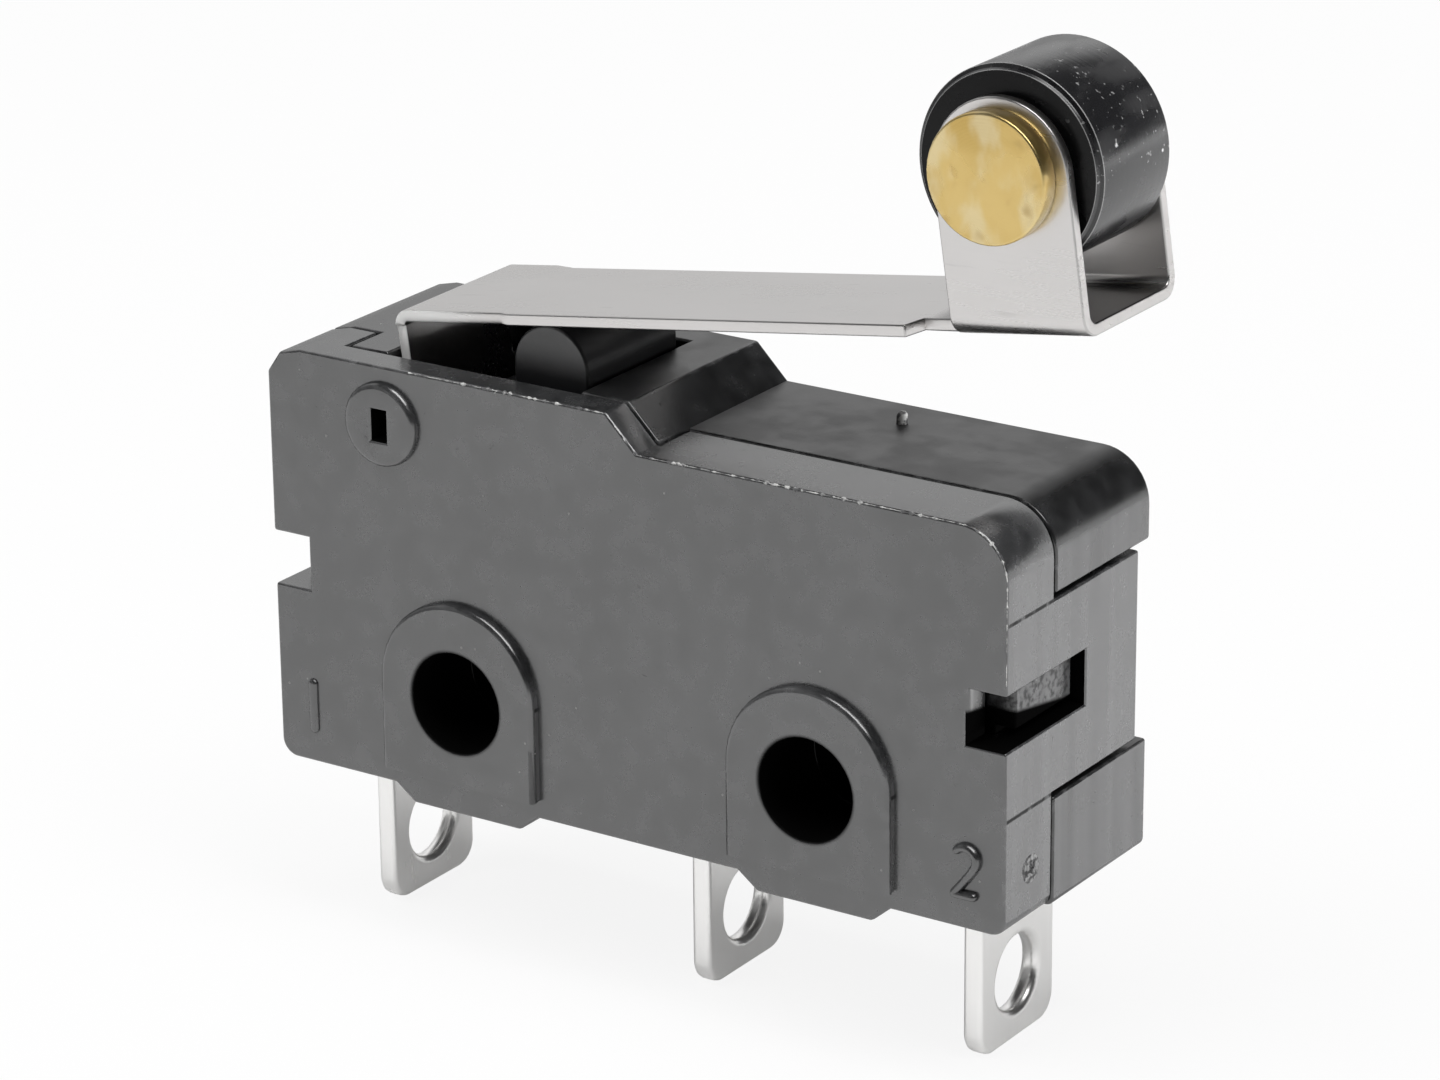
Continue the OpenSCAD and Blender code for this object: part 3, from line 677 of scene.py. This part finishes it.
# %% [markdown]
# ## Brass and tin
#
# The brass rivet was turned, so its marks are rings round its axis: a sine of the distance from
# that axis. Brass also stains where fingers touch it. Tin plate is soft and bright with slow
# clouds in its gloss. Both are metal all over, so only colour, roughness and bump vary.

# %% Mix the brass and the tin
RING_RADIANS_PER_MM = 85.0
BRASS_TONES = (rgb(0.70, 0.515, 0.205), rgb(0.62, 0.43, 0.14))
BRASS_PALE, BRASS_SPOT = rgb(0.75, 0.63, 0.37), rgb(0.36, 0.22, 0.07)
BRASS_RIM = rgb(0.74, 0.58, 0.27)
TIN_TONES = (rgb(0.88, 0.872, 0.858), rgb(0.96, 0.955, 0.945))
# Tin edge colour is wear and a painted highlight along the tags' edges.
TIN_EDGE_SHEEN = rgb(0.92, 0.915, 0.90)


def axis_rings(metal, axis):
    """The sine of the distance from an axis along Y, which makes rings round it."""
    centre = metal.make("ShaderNodeVectorMath", {"operation": "SUBTRACT"},
                        {0: metal.place, 1: tuple(axis)})
    flat = metal.make("ShaderNodeVectorMath", {"operation": "MULTIPLY"}, {0: centre, 1: (1, 0, 1)})
    radius = metal.make("ShaderNodeVectorMath", {"operation": "LENGTH"}, {0: flat}, "Value")
    wave = radius * (RING_RADIANS_PER_MM / MM)
    return metal.make("ShaderNodeMath", {"operation": "SINE"}, {0: wave})


def stained_brass():
    """Turned brass: rings round the roller's axis, soft brown stains, a brighter rim."""
    brass = Finish("stained_brass")
    stain = brass.noise(0.7, 2.0).ramp(0.30, 0.72)
    pale = brass.noise((1.3, 1.0, 0.7), 3.0, (0.2, 0.6, 0.1)).ramp(0.46, 0.66)
    spot = brass.noise(1.7, 1.5).ramp(0.60, 0.78)
    tone = brass.mix(*BRASS_TONES, stain)
    tone = brass.mix(tone, BRASS_PALE, pale * 0.8)
    tone = brass.mix(tone, BRASS_SPOT, spot * 0.4)
    tone = brass.mix(tone, BRASS_RIM, brass.attribute("wear_and_sheen") * 0.4)
    return brass.surface(Base_Color=tone, Metallic=1.0, Roughness=0.24 + stain * 0.12 + spot * 0.1,
                         Normal=brass.bump(axis_rings(brass, ROLLER_AXIS), 0.0012, 0.3))


def tin_plate():
    """Bright tin over brass: slow clouds in its gloss and faint upright rub marks."""
    tin = Finish("tin_plate")
    cloud = tin.noise(0.7, 3.0)
    rubbed = tin.noise((6.0, 6.0, 0.6), 2.0)
    tone = tin.mix(*TIN_TONES, cloud * 0.6 + rubbed * 0.4)
    # Wear and painted highlight: the tags' rounded edges are tinted brighter.
    tone = tin.mix(tone, TIN_EDGE_SHEEN, tin.attribute("wear_and_sheen") * 0.5)
    return tin.surface(Base_Color=tone, Metallic=1.0, Roughness=0.22 + cloud * 0.10 + rubbed * 0.05,
                       Normal=tin.bump(rubbed * 0.6 + cloud * 0.4, 0.006, 0.2))


BRASS = stained_brass()
TIN = tin_plate()
print("rivet and tags:", BRASS.name, TIN.name)

# %% [markdown]
# ## Edges that are rounder than the rest
#
# No moulded or stamped edge is a knife edge, and the thin line of light along it is what makes a
# part look real. Most edges of one piece are equally sharp, but the rims of the two pads, of the
# hinge disc and of the solder eyes are rounder. Small questions about an edge's middle point find
# them. The lower edge of each pad runs on into a foot without a line, so it isn't rounded at all.

# %% Tell the edges apart
SHARP = math.radians(28)
HOLES = (Vector((-HOLE_OUT, 0.0)), Vector((HOLE_OUT, 0.0)))
PAD_FACE, PAD_REACH, PAD_LOW = FRONT - 0.22, 1.6, -2.0
FOOT_FACE, FOOT_TOP = FRONT - 0.1, -1.95
DISC_FACE, DISC_REACH = FRONT - 0.15, (0.9, 1.1)
EYE_REACH = 1.0


def middle_mm(edge):
    """The middle of an edge in millimetres."""
    return (edge.verts[0].co + edge.verts[1].co) / (2 * MM)


def on_pad_rim(edge):
    """Outer rim of a raised pad: in front of the face, away from the hole, above the foot."""
    m = middle_mm(edge)
    far = min((m.xz - hole).length for hole in HOLES)
    return m.y < PAD_FACE and far > PAD_REACH and m.z > PAD_LOW


def off_pad_foot(edge):
    """Everything but the lower edge of the pads."""
    m = middle_mm(edge)
    return not (m.y < FOOT_FACE and m.z < FOOT_TOP)


def on_disc_rim(edge):
    """Rim of the hinge disc: in front of the face, one disc radius from the hinge."""
    m = middle_mm(edge)
    return m.y < DISC_FACE and DISC_REACH[0] < (m.xz - HINGE).length < DISC_REACH[1]


def on_eye_rim(edge):
    """Rim of a solder eye: near the eye's axis, which runs along X."""
    return (middle_mm(edge).yz - EYE).length < EYE_REACH


def sharp_edges(skin, wanted):
    """Outward edges between two faces that meet at more than SHARP, and that wanted says yes to."""
    return [e for e in skin.edges
            if e.is_manifold and e.is_convex and e.calc_face_angle() > SHARP and wanted(e)]


def inner_corners(skin):
    """Inward edges between two faces that meet at more than SHARP."""
    return [e for e in skin.edges
            if e.is_manifold and not e.is_convex and e.calc_face_angle() > SHARP]


print("edges count as sharp from", round(math.degrees(SHARP)), "degrees")

# %% [markdown]
# ## Soft copies of the visible solids
#
# A CAD solid arrives as loose triangles with sharp corners. A copy of it is merged into one skin,
# its flat triangles are joined into whole faces, and each sharp edge gets a narrow round, the
# rounder ones first. Faces of the rounds are marked on the mesh, and the finishes tint edges there:
# plastic, brass and tin get paler, for plastic and tin partly as a painted highlight, and steel
# gets darker as a painted dark reflection. Inner corners stay crisp, because smooth shading across
# them would darken the faces beside them. The copy then stands for the solid, and the solid itself
# stays hidden in place.

# %% Round the edges
WELD = 0.002 * MM
FLAT = math.radians(0.6)
RIM_STEPS, RIM_WEAR_AND_SHEEN, EDGE_WEAR_AND_SHEEN = 4, 0.6, 1.0
TAGS = ("common_terminal", "normally_open_terminal", "normally_closed_terminal")


def merged(node):
    """A solid's triangles as one skin, where points closer than WELD become one."""
    skin = bmesh.new()
    skin.from_mesh(frame["nodes"][node].data)
    bmesh.ops.remove_doubles(skin, verts=skin.verts, dist=WELD)
    return skin


def smooth_mesh(name, skin, crisp):
    """Ends a skin as a mesh that is shaded smooth but for its crisp edges."""
    for face in skin.faces:
        face.smooth = True
    for edge in crisp:
        edge.smooth = False
    mesh = bpy.data.meshes.new(name)
    skin.to_mesh(mesh)
    skin.free()
    return mesh


def round_over(skin, wear_and_sheen, edges, radius_mm, steps, wear_and_sheen_share):
    """Rounds edges and marks the new faces with their share of wear and painted edge light."""
    made = bmesh.ops.bevel(skin, geom=edges, offset=radius_mm * MM, offset_type="OFFSET",
                           segments=steps, profile=0.5, affect="EDGES", loop_slide=False)
    for face in made["faces"]:
        face[wear_and_sheen] = wear_and_sheen_share


def add_piece(name, mesh, body, finish):
    """Puts a finished mesh into the scene on its body, with its finish and slot."""
    piece = bpy.data.objects.new(name, mesh)
    bpy.context.scene.collection.objects.link(piece)
    mesh.materials.append(finish)
    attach(piece, body)
    return piece


def soft_copy(node, body, finish, edge_mm, steps=2, rounder=()):
    """A merged copy of a solid, its rounder edges first and then every other sharp edge rounded."""
    skin = merged(node)
    bmesh.ops.dissolve_limit(skin, angle_limit=FLAT, verts=skin.verts, edges=skin.edges)
    wear_and_sheen = skin.faces.layers.float.new("wear_and_sheen")
    for wanted, radius_mm in rounder:
        round_over(skin, wear_and_sheen, sharp_edges(skin, wanted), radius_mm, RIM_STEPS, RIM_WEAR_AND_SHEEN)
    sharp = sharp_edges(skin, off_pad_foot)
    round_over(skin, wear_and_sheen, sharp, edge_mm, steps, EDGE_WEAR_AND_SHEEN)
    mesh = smooth_mesh(node + "_soft", skin, inner_corners(skin))
    piece = add_piece(node + "_soft", mesh, body, finish)
    even = piece.modifiers.new("even_shading", "WEIGHTED_NORMAL")
    even.keep_sharp = True
    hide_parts(node)
    print(piece.name, len(mesh.polygons), "faces,", len(sharp), "edges rounded")
    return piece


soft_copy("cover", "case", COVER_GREY, 0.07,
          rounder=((on_pad_rim, 0.14), (on_disc_rim, 0.15)))
soft_copy("case", "case", CASE_GREY, 0.07)
soft_copy("lever", "lever", STEEL, 0.04)
soft_copy("roller_pin", "lever", BRASS, 0.06)
soft_copy("plunger", "plunger", PLUNGER_BLACK, 0.08)
for tag in TAGS:
    soft_copy(tag, "case", TIN, 0.13, 3, ((on_eye_rim, 0.21),))

# %% [markdown]
# ## The turned roller
#
# A turned piece is a closed profile carried round an axis, so the roller needs no copy of its
# solid. One half of the profile lists radius and place along the axis at each corner: bore, hub,
# face, the small step at the rim, and the tread. The other half is its mirror image. Every corner
# is cut back a little and joined by a curve, and the corners of the rims are marked for a pale
# tint, partly rubbing and partly a painted highlight.

# %% Turn the roller
HALF_PROFILE = [(0.65, -1.59), (1.10, -1.59), (1.10, -1.50),
                (2.12, -1.50), (2.15, -1.42), (2.25, -1.37)]
PROFILE = HALF_PROFILE + [(radius, -place) for radius, place in reversed(HALF_PROFILE)]
RIM_LINES = [(2.12, 1.50), (2.25, 1.37)]
CUT_BACK = 0.02
TURN_STEPS, CURVE_STEPS = 96, 4
CORNER_WEAR_AND_SHEEN = [0, 1, 1, 0]


def eased(corners):
    """A closed polygon with each corner replaced by a curve (1-t)^2 a + 2t(1-t) corner + t^2 b,
    whose ends a and b lie CUT_BACK along the two sides."""
    to_last, to_next = np.roll(corners, 1, 0) - corners, np.roll(corners, -1, 0) - corners
    ends = [corners + way * CUT_BACK / np.linalg.norm(way, axis=1, keepdims=True)
            for way in (to_last, to_next)]
    t = np.linspace(0, 1, CURVE_STEPS)[None, :, None]
    first, middle, last = ends[0][:, None], corners[:, None], ends[1][:, None]
    return ((1 - t) ** 2 * first + 2 * t * (1 - t) * middle + t ** 2 * last).reshape(-1, 2)


def turned(name, profile, axis):
    """Rings of a closed profile round an axis along Y, joined to a closed tube of quads."""
    angle = (np.arange(TURN_STEPS) + 0.5) * 2 * np.pi / TURN_STEPS
    x = axis[0] / MM + profile[None, :, 0] * np.cos(angle)[:, None]
    z = axis[2] / MM + profile[None, :, 0] * np.sin(angle)[:, None]
    y = np.broadcast_to(profile[None, :, 1], x.shape)
    index = np.arange(x.size).reshape(x.shape)
    after = np.roll(index, -1, 0)
    quads = np.stack([index, np.roll(index, -1, 1), np.roll(after, -1, 1), after], -1)
    points = np.stack([x, y, z], -1).reshape(-1, 3) * MM
    mesh = bpy.data.meshes.new(name)
    mesh.from_pydata(points.tolist(), [], quads.reshape(-1, 4).tolist())
    mesh.shade_smooth()
    return mesh


roller_mesh = turned("roller_soft", eased(np.array(PROFILE)), ROLLER_AXIS)
at_rim = np.array([(radius, abs(place)) in RIM_LINES for radius, place in PROFILE], float)
rim_wear_and_sheen = np.tile(np.outer(at_rim, CORNER_WEAR_AND_SHEEN).ravel(), TURN_STEPS)
roller_mesh.attributes.new("wear_and_sheen", "FLOAT", "POINT").data.foreach_set("value", rim_wear_and_sheen)
roller = add_piece("roller_soft", roller_mesh, "roller", ROLLER_BLACK)
roller.modifiers.new("even_shading", "WEIGHTED_NORMAL").keep_sharp = True
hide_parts("roller")
print(roller.name, len(roller_mesh.polygons), "faces")

# %% [markdown]
# ## Skins over rings
#
# The small marks of moulding are threads, beads and bumps. Each is a stack of rings of points with
# a skin over it, so three helpers make them all: one walks along a line in even steps, one lays
# rings along a line on the front, and one puts the closed skin over any stack of rings.

# %% Make skins over rings
FEWEST = 4


def circle(steps):
    """Evenly spaced angles round a circle, in radians."""
    return np.linspace(0, 2 * np.pi, steps, endpoint=False)


def evenly(points, step):
    """A polyline resampled at even steps of its length, with the length at each point."""
    points = np.asarray(points, float)
    run = np.concatenate([[0], np.cumsum(np.linalg.norm(np.diff(points, axis=0), axis=1))])
    at = np.linspace(0, run[-1], max(int(run[-1] / step), FEWEST))
    return np.stack([np.interp(at, run, points[:, k]) for k in range(points.shape[1])], 1), at


def sweep(path, wide, high, angles):
    """Rings along a path on the front: each is wide across the path and high towards the front."""
    along = np.gradient(path, axis=0)
    along /= np.linalg.norm(along, axis=1, keepdims=True)
    across = np.stack([-along[:, 1], along[:, 0]], 1)
    side = wide[:, None] * np.cos(angles)[None]
    x = path[:, 0, None] + across[:, 0, None] * side
    z = path[:, 1, None] + across[:, 1, None] * side
    y = np.broadcast_to(-high[:, None] * np.sin(angles)[None], x.shape)
    return np.stack([x, y, z], -1)


def closed_skin(name, rings):
    """A closed mesh over rings of points: quads join neighbouring rings, and caps close the ends."""
    count, size = rings.shape[:2]
    index = np.arange(count * size).reshape(count, size)
    beside = np.roll(index, -1, axis=1)
    quads = np.stack([index[:-1], beside[:-1], beside[1:], index[1:]], -1).reshape(-1, 4)
    faces = quads.tolist() + [index[0].tolist(), index[-1].tolist()]
    mesh = bpy.data.meshes.new(name)
    mesh.from_pydata((rings.reshape(-1, 3) * MM).tolist(), [], faces)
    skin = bmesh.new()
    skin.from_mesh(mesh)
    bmesh.ops.recalc_face_normals(skin, faces=skin.faces)
    skin.to_mesh(mesh)
    skin.free()
    mesh.shade_smooth()
    return mesh


print("skins over rings ready")

# %% [markdown]
# ## A ragged parting edge
#
# Along the upper front edge the mould halves met, and a thin broken flash was left there. It shows
# as a row of pale crumbs. A thread of changing thickness is laid along that edge: the path is the
# outline's own corner points with its round corner, and the thickness is a smoothed row of seeded
# random numbers, so that the thread almost vanishes in places.

# %% Lay the flash along the upper front edge
LOW_TOP, SLOPE_X = 6.87, (-0.60, 0.22)
CORNER, CORNER_STEPS = 1.2, 14
EDGE_SINK = 0.02
FLASH_FROM_X, FLASH_TO_Z, FLASH_STEP = -6.0, 3.4, 0.03
FLASH_THIN, FLASH_THICK, FLASH_MOST = 0.007, 0.060, 1.1
FLASH_SIDES, FLASH_STRETCHES = 8, 40
FADE_Z, FADE_SHARE = (FLASH_TO_Z, 5.2, 6.4), (0.2, 0.45, 1.0)


def flash_path():
    """The upper edge seen from the front: high top, slope, low top and the round right corner."""
    bend = np.linspace(np.pi / 2, 0, CORNER_STEPS)
    round_x = RIGHT_END - CORNER + (CORNER - EDGE_SINK) * np.cos(bend)
    round_z = LOW_TOP - CORNER + (CORNER - EDGE_SINK) * np.sin(bend)
    high, low = HIGH_TOP - EDGE_SINK, LOW_TOP - EDGE_SINK
    start = [(FLASH_FROM_X, high), (SLOPE_X[0], high), (SLOPE_X[1], low)]
    end = [(RIGHT_END - EDGE_SINK, FLASH_TO_Z)]
    return np.vstack([start, np.stack([round_x, round_z], 1), end])


def edge_flash():
    """A thread along the upper edge: its radius is smoothed noise, times a slow noise, times a
    fade towards the lower end."""
    path, run = evenly(flash_path(), FLASH_STEP)
    seed = np.random.default_rng(11)
    rough = np.convolve(seed.normal(size=len(run)), np.ones(3) / 3, "same")
    stretches = seed.uniform(0.1, 1.0, FLASH_STRETCHES)
    slow = np.interp(run, np.linspace(0, run[-1], FLASH_STRETCHES), stretches)
    fade = np.interp(path[:, 1], FADE_Z, FADE_SHARE)
    radius = FLASH_THIN + FLASH_THICK * np.clip(rough, 0, FLASH_MOST) * slow * fade
    rings = sweep(path, radius, radius, circle(FLASH_SIDES))
    rings[..., 1] += FRONT + EDGE_SINK
    return closed_skin("edge_flash", rings)


flash = add_piece("edge_flash", edge_flash(), "case", TORN_EDGE)
print("flash:", len(flash.data.polygons), "faces")

# %% [markdown]
# ## Terminal numbers
#
# A plain 1 and 2 are moulded on the front, at the ends where those terminals are. Each is one
# stroke: a half-round bead carried along the middle line of the digit and sunk a little into the
# face. The 2 stands out by 0.16 mm, and the 1 is rubbed down to 0.10 mm. Towards both ends the
# bead narrows like a ball, which closes it.

# %% Mould the two numbers
CRISP, WORN = (0.11, 0.16), (0.13, 0.10)
BEAD_STEP, BEAD_SIDES, BEAD_TIP, BEAD_SINK = 0.02, 16, 0.02, 0.3
ARC_FROM, ARC_TO, ARC_STEPS, CURVE_POINTS = 160, -40, 24, 12
PULL_X, PULL_Z, FOOT_PAST = 0.10, 0.18, 0.03


def bead(name, line, half, high):
    """A half-round bead on the front along a line of (x, z) points. At a share s of the ball's
    radius from an end, its width is the full width times the square root of 1 - (1 - s)^2."""
    path, run = evenly(line, BEAD_STEP)
    share = np.clip(np.minimum(run, run[-1] - run) / half, BEAD_TIP, 1)
    swell = np.sqrt(1 - (1 - share) ** 2)
    rings = sweep(path, half * swell, high * swell, circle(BEAD_SIDES))
    depth = rings[..., 1]
    rings[..., 1] = FRONT + np.where(depth > 0, depth * BEAD_SINK, depth)
    return closed_skin(name, rings)


def digit_two(left, right, low, high):
    """The middle line of a 2: an arc over the top, a curve (1-t)^2 a + 2t(1-t) pull + t^2 foot
    down to the left, and the foot."""
    half = (right - left) / 2
    turn = np.radians(np.linspace(ARC_FROM, ARC_TO, ARC_STEPS))
    arc = np.stack([left + half + half * np.cos(turn), high - half + half * np.sin(turn)], 1)
    t = np.linspace(0, 1, CURVE_POINTS)[1:, None]
    pull = arc[-1] - (PULL_X, PULL_Z)
    curve = (1 - t) ** 2 * arc[-1] + 2 * t * (1 - t) * pull + t ** 2 * np.array([left, low])
    return np.vstack([arc, curve, [(right + FOOT_PAST, low)]])


ONE = [(-9.04, -0.36), (-9.04, -1.72)]
TWO = digit_two(8.45, 9.01, -1.64, -0.52)
for name, line, size in (("number_1", ONE, WORN), ("number_2", TWO, CRISP)):
    piece = add_piece(name, bead(name, line, *size), "case", COVER_GREY)
    print(piece.name, len(piece.data.polygons), "faces")

# %% [markdown]
# ## Gate mark and pip
#
# The plastic entered the cover's mould through a small gate on the right end, which was snapped
# off and left a rough round scar. On top of the case a tiny pip stands where a vent was. The scar
# is a disc whose height is smoothed noise that fades out at the rim, and the pip is a ball-ended
# stub. Both are stacks of rings, one closing towards its middle and one rising to its tip.

# %% Leave the marks of moulding
GATE_AT, GATE_RADIUS = (-1.98, -1.2), 0.36
GATE_RINGS, GATE_STEPS, GATE_CENTRE = 12, 40, 0.05
GATE_LIFT, GATE_ROUGH, GATE_FADE = 0.012, 0.045, 4
PIP_AT, PIP_RADIUS, PIP_HIGH = (4.03, 1.86), 0.13, 0.29
PIP_FLARE, PIP_STRAIGHT, PIP_TIP, PIP_RINGS, PIP_STEPS = 1.05, 0.06, 0.05, 8, 20
MARK_SINK = 0.03


def gate_scar():
    """Rings from a sunk rim to the middle; height is noise times 1 - share^4."""
    share = np.linspace(1, GATE_CENTRE, GATE_RINGS)[:, None]
    turn = circle(GATE_STEPS)
    rough = np.random.default_rng(5).normal(size=(GATE_RINGS, GATE_STEPS))
    rough = (rough + np.roll(rough, 1, 1) + np.roll(rough, -1, 1)) / 3
    lift = (GATE_LIFT + GATE_ROUGH * np.abs(rough)) * (1 - share ** GATE_FADE)
    lift[0] = -MARK_SINK
    y = GATE_AT[0] + GATE_RADIUS * share * np.cos(turn)
    z = GATE_AT[1] + GATE_RADIUS * share * np.sin(turn)
    return closed_skin("gate_scar", np.stack([RIGHT_END + lift, y, z], -1))


def vent_pip():
    """Rings up a stub: straight, then closing as a ball's profile does."""
    lean = np.linspace(0, np.pi / 2 - PIP_TIP, PIP_RINGS)
    ball = PIP_HIGH - PIP_RADIUS * (1 - np.sin(lean))
    radius = PIP_RADIUS * np.concatenate([[PIP_FLARE, 1.0], np.cos(lean)])[:, None]
    height = np.concatenate([[-MARK_SINK, PIP_STRAIGHT], ball])[:, None]
    turn = circle(PIP_STEPS)
    x = PIP_AT[0] + radius * np.cos(turn)
    y = PIP_AT[1] + radius * np.sin(turn)
    z = np.broadcast_to(LOW_TOP + height, x.shape)
    return closed_skin("vent_pip", np.stack([x, y, z], -1))


add_piece("gate_scar", gate_scar(), "case", TORN_GATE)
add_piece("vent_pip", vent_pip(), "case", TORN_EDGE)
print("marks: gate_scar, vent_pip")

# %% [markdown]
# ## Pieces inside the case
#
# The contacts and the blade are shut in, so their solids stay as they are and only get their
# metals. They show when the case is hidden or the part is taken apart. Strip metal has lines along
# its length, and the turned contacts have a fine even grain.

# %% Finish the inner pieces
GRAIN, STRIP = (4.0, 4.0, 4.0), (0.3, 12.0, 12.0)


def plain_metal(name, low, high, rough_low, stretch):
    """An inner metal piece: lines along its strip and a clouded gloss."""
    metal = Finish(name)
    lines = metal.noise(stretch, 2.0)
    cloud = metal.noise(0.8, 2.0)
    tone = metal.mix(low, high, lines * 0.5 + cloud * 0.5)
    return metal.surface(Base_Color=tone, Metallic=1.0, Roughness=rough_low + lines * 0.15,
                         Normal=metal.bump(lines, 0.004, 0.25))


SILVER = plain_metal("contact_silver", rgb(0.78, 0.78, 0.76), rgb(0.90, 0.90, 0.88), 0.20, GRAIN)
BRONZE = plain_metal("blade_bronze", rgb(0.62, 0.40, 0.22), rgb(0.76, 0.54, 0.34), 0.24, STRIP)
SPRING = plain_metal("spring_steel", rgb(0.45, 0.45, 0.45), rgb(0.60, 0.60, 0.59), 0.22, STRIP)
INNER = {"normally_open_contact": SILVER, "normally_closed_contact": SILVER,
         "moving_contact": SILVER, "moving_blade": BRONZE}
for node, finish in INNER.items():
    frame["nodes"][node].data.materials.clear()
    frame["nodes"][node].data.materials.append(finish)
print("inner pieces:", sorted(INNER))

# %% [markdown]
# ## The bowed spring
#
# The bowed spring is the one piece that bends: its foot stands in the terminal and its other end
# pushes the blade. A stiff spring on the blade would cut into the terminal when the lever is
# pressed. Here a merged copy of it is made with crisp sharp edges and baked in place, and the solid
# is hidden. The copy is not tied to the case or the blade, so it does not bend.

# %% Copy the spring


def bending_copy(node, finish):
    """A merged copy of a leaf, shaded smooth but for its sharp edges, with its finish, baked in place."""
    skin = merged(node)
    mesh = smooth_mesh(node + "_soft", skin, sharp_edges(skin, lambda edge: True))
    mesh.materials.append(finish)
    piece = bpy.data.objects.new(node + "_soft", mesh)
    bpy.context.scene.collection.objects.link(piece)
    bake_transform(piece)
    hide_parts(node)
    return piece


spring = bending_copy("snap_spring", SPRING)
print(spring.name, len(spring.data.polygons), "faces")

# %% [markdown]
# ## Boxes as plain lists
#
# Looks must not change the part's size. A helper here turns a box into two plain lists; the
# script does not write or compare the boxes.

# %% Turn a box into lists


def corners(box):
    """A box as two plain lists."""
    return [[float(value) for value in corner] for corner in box]
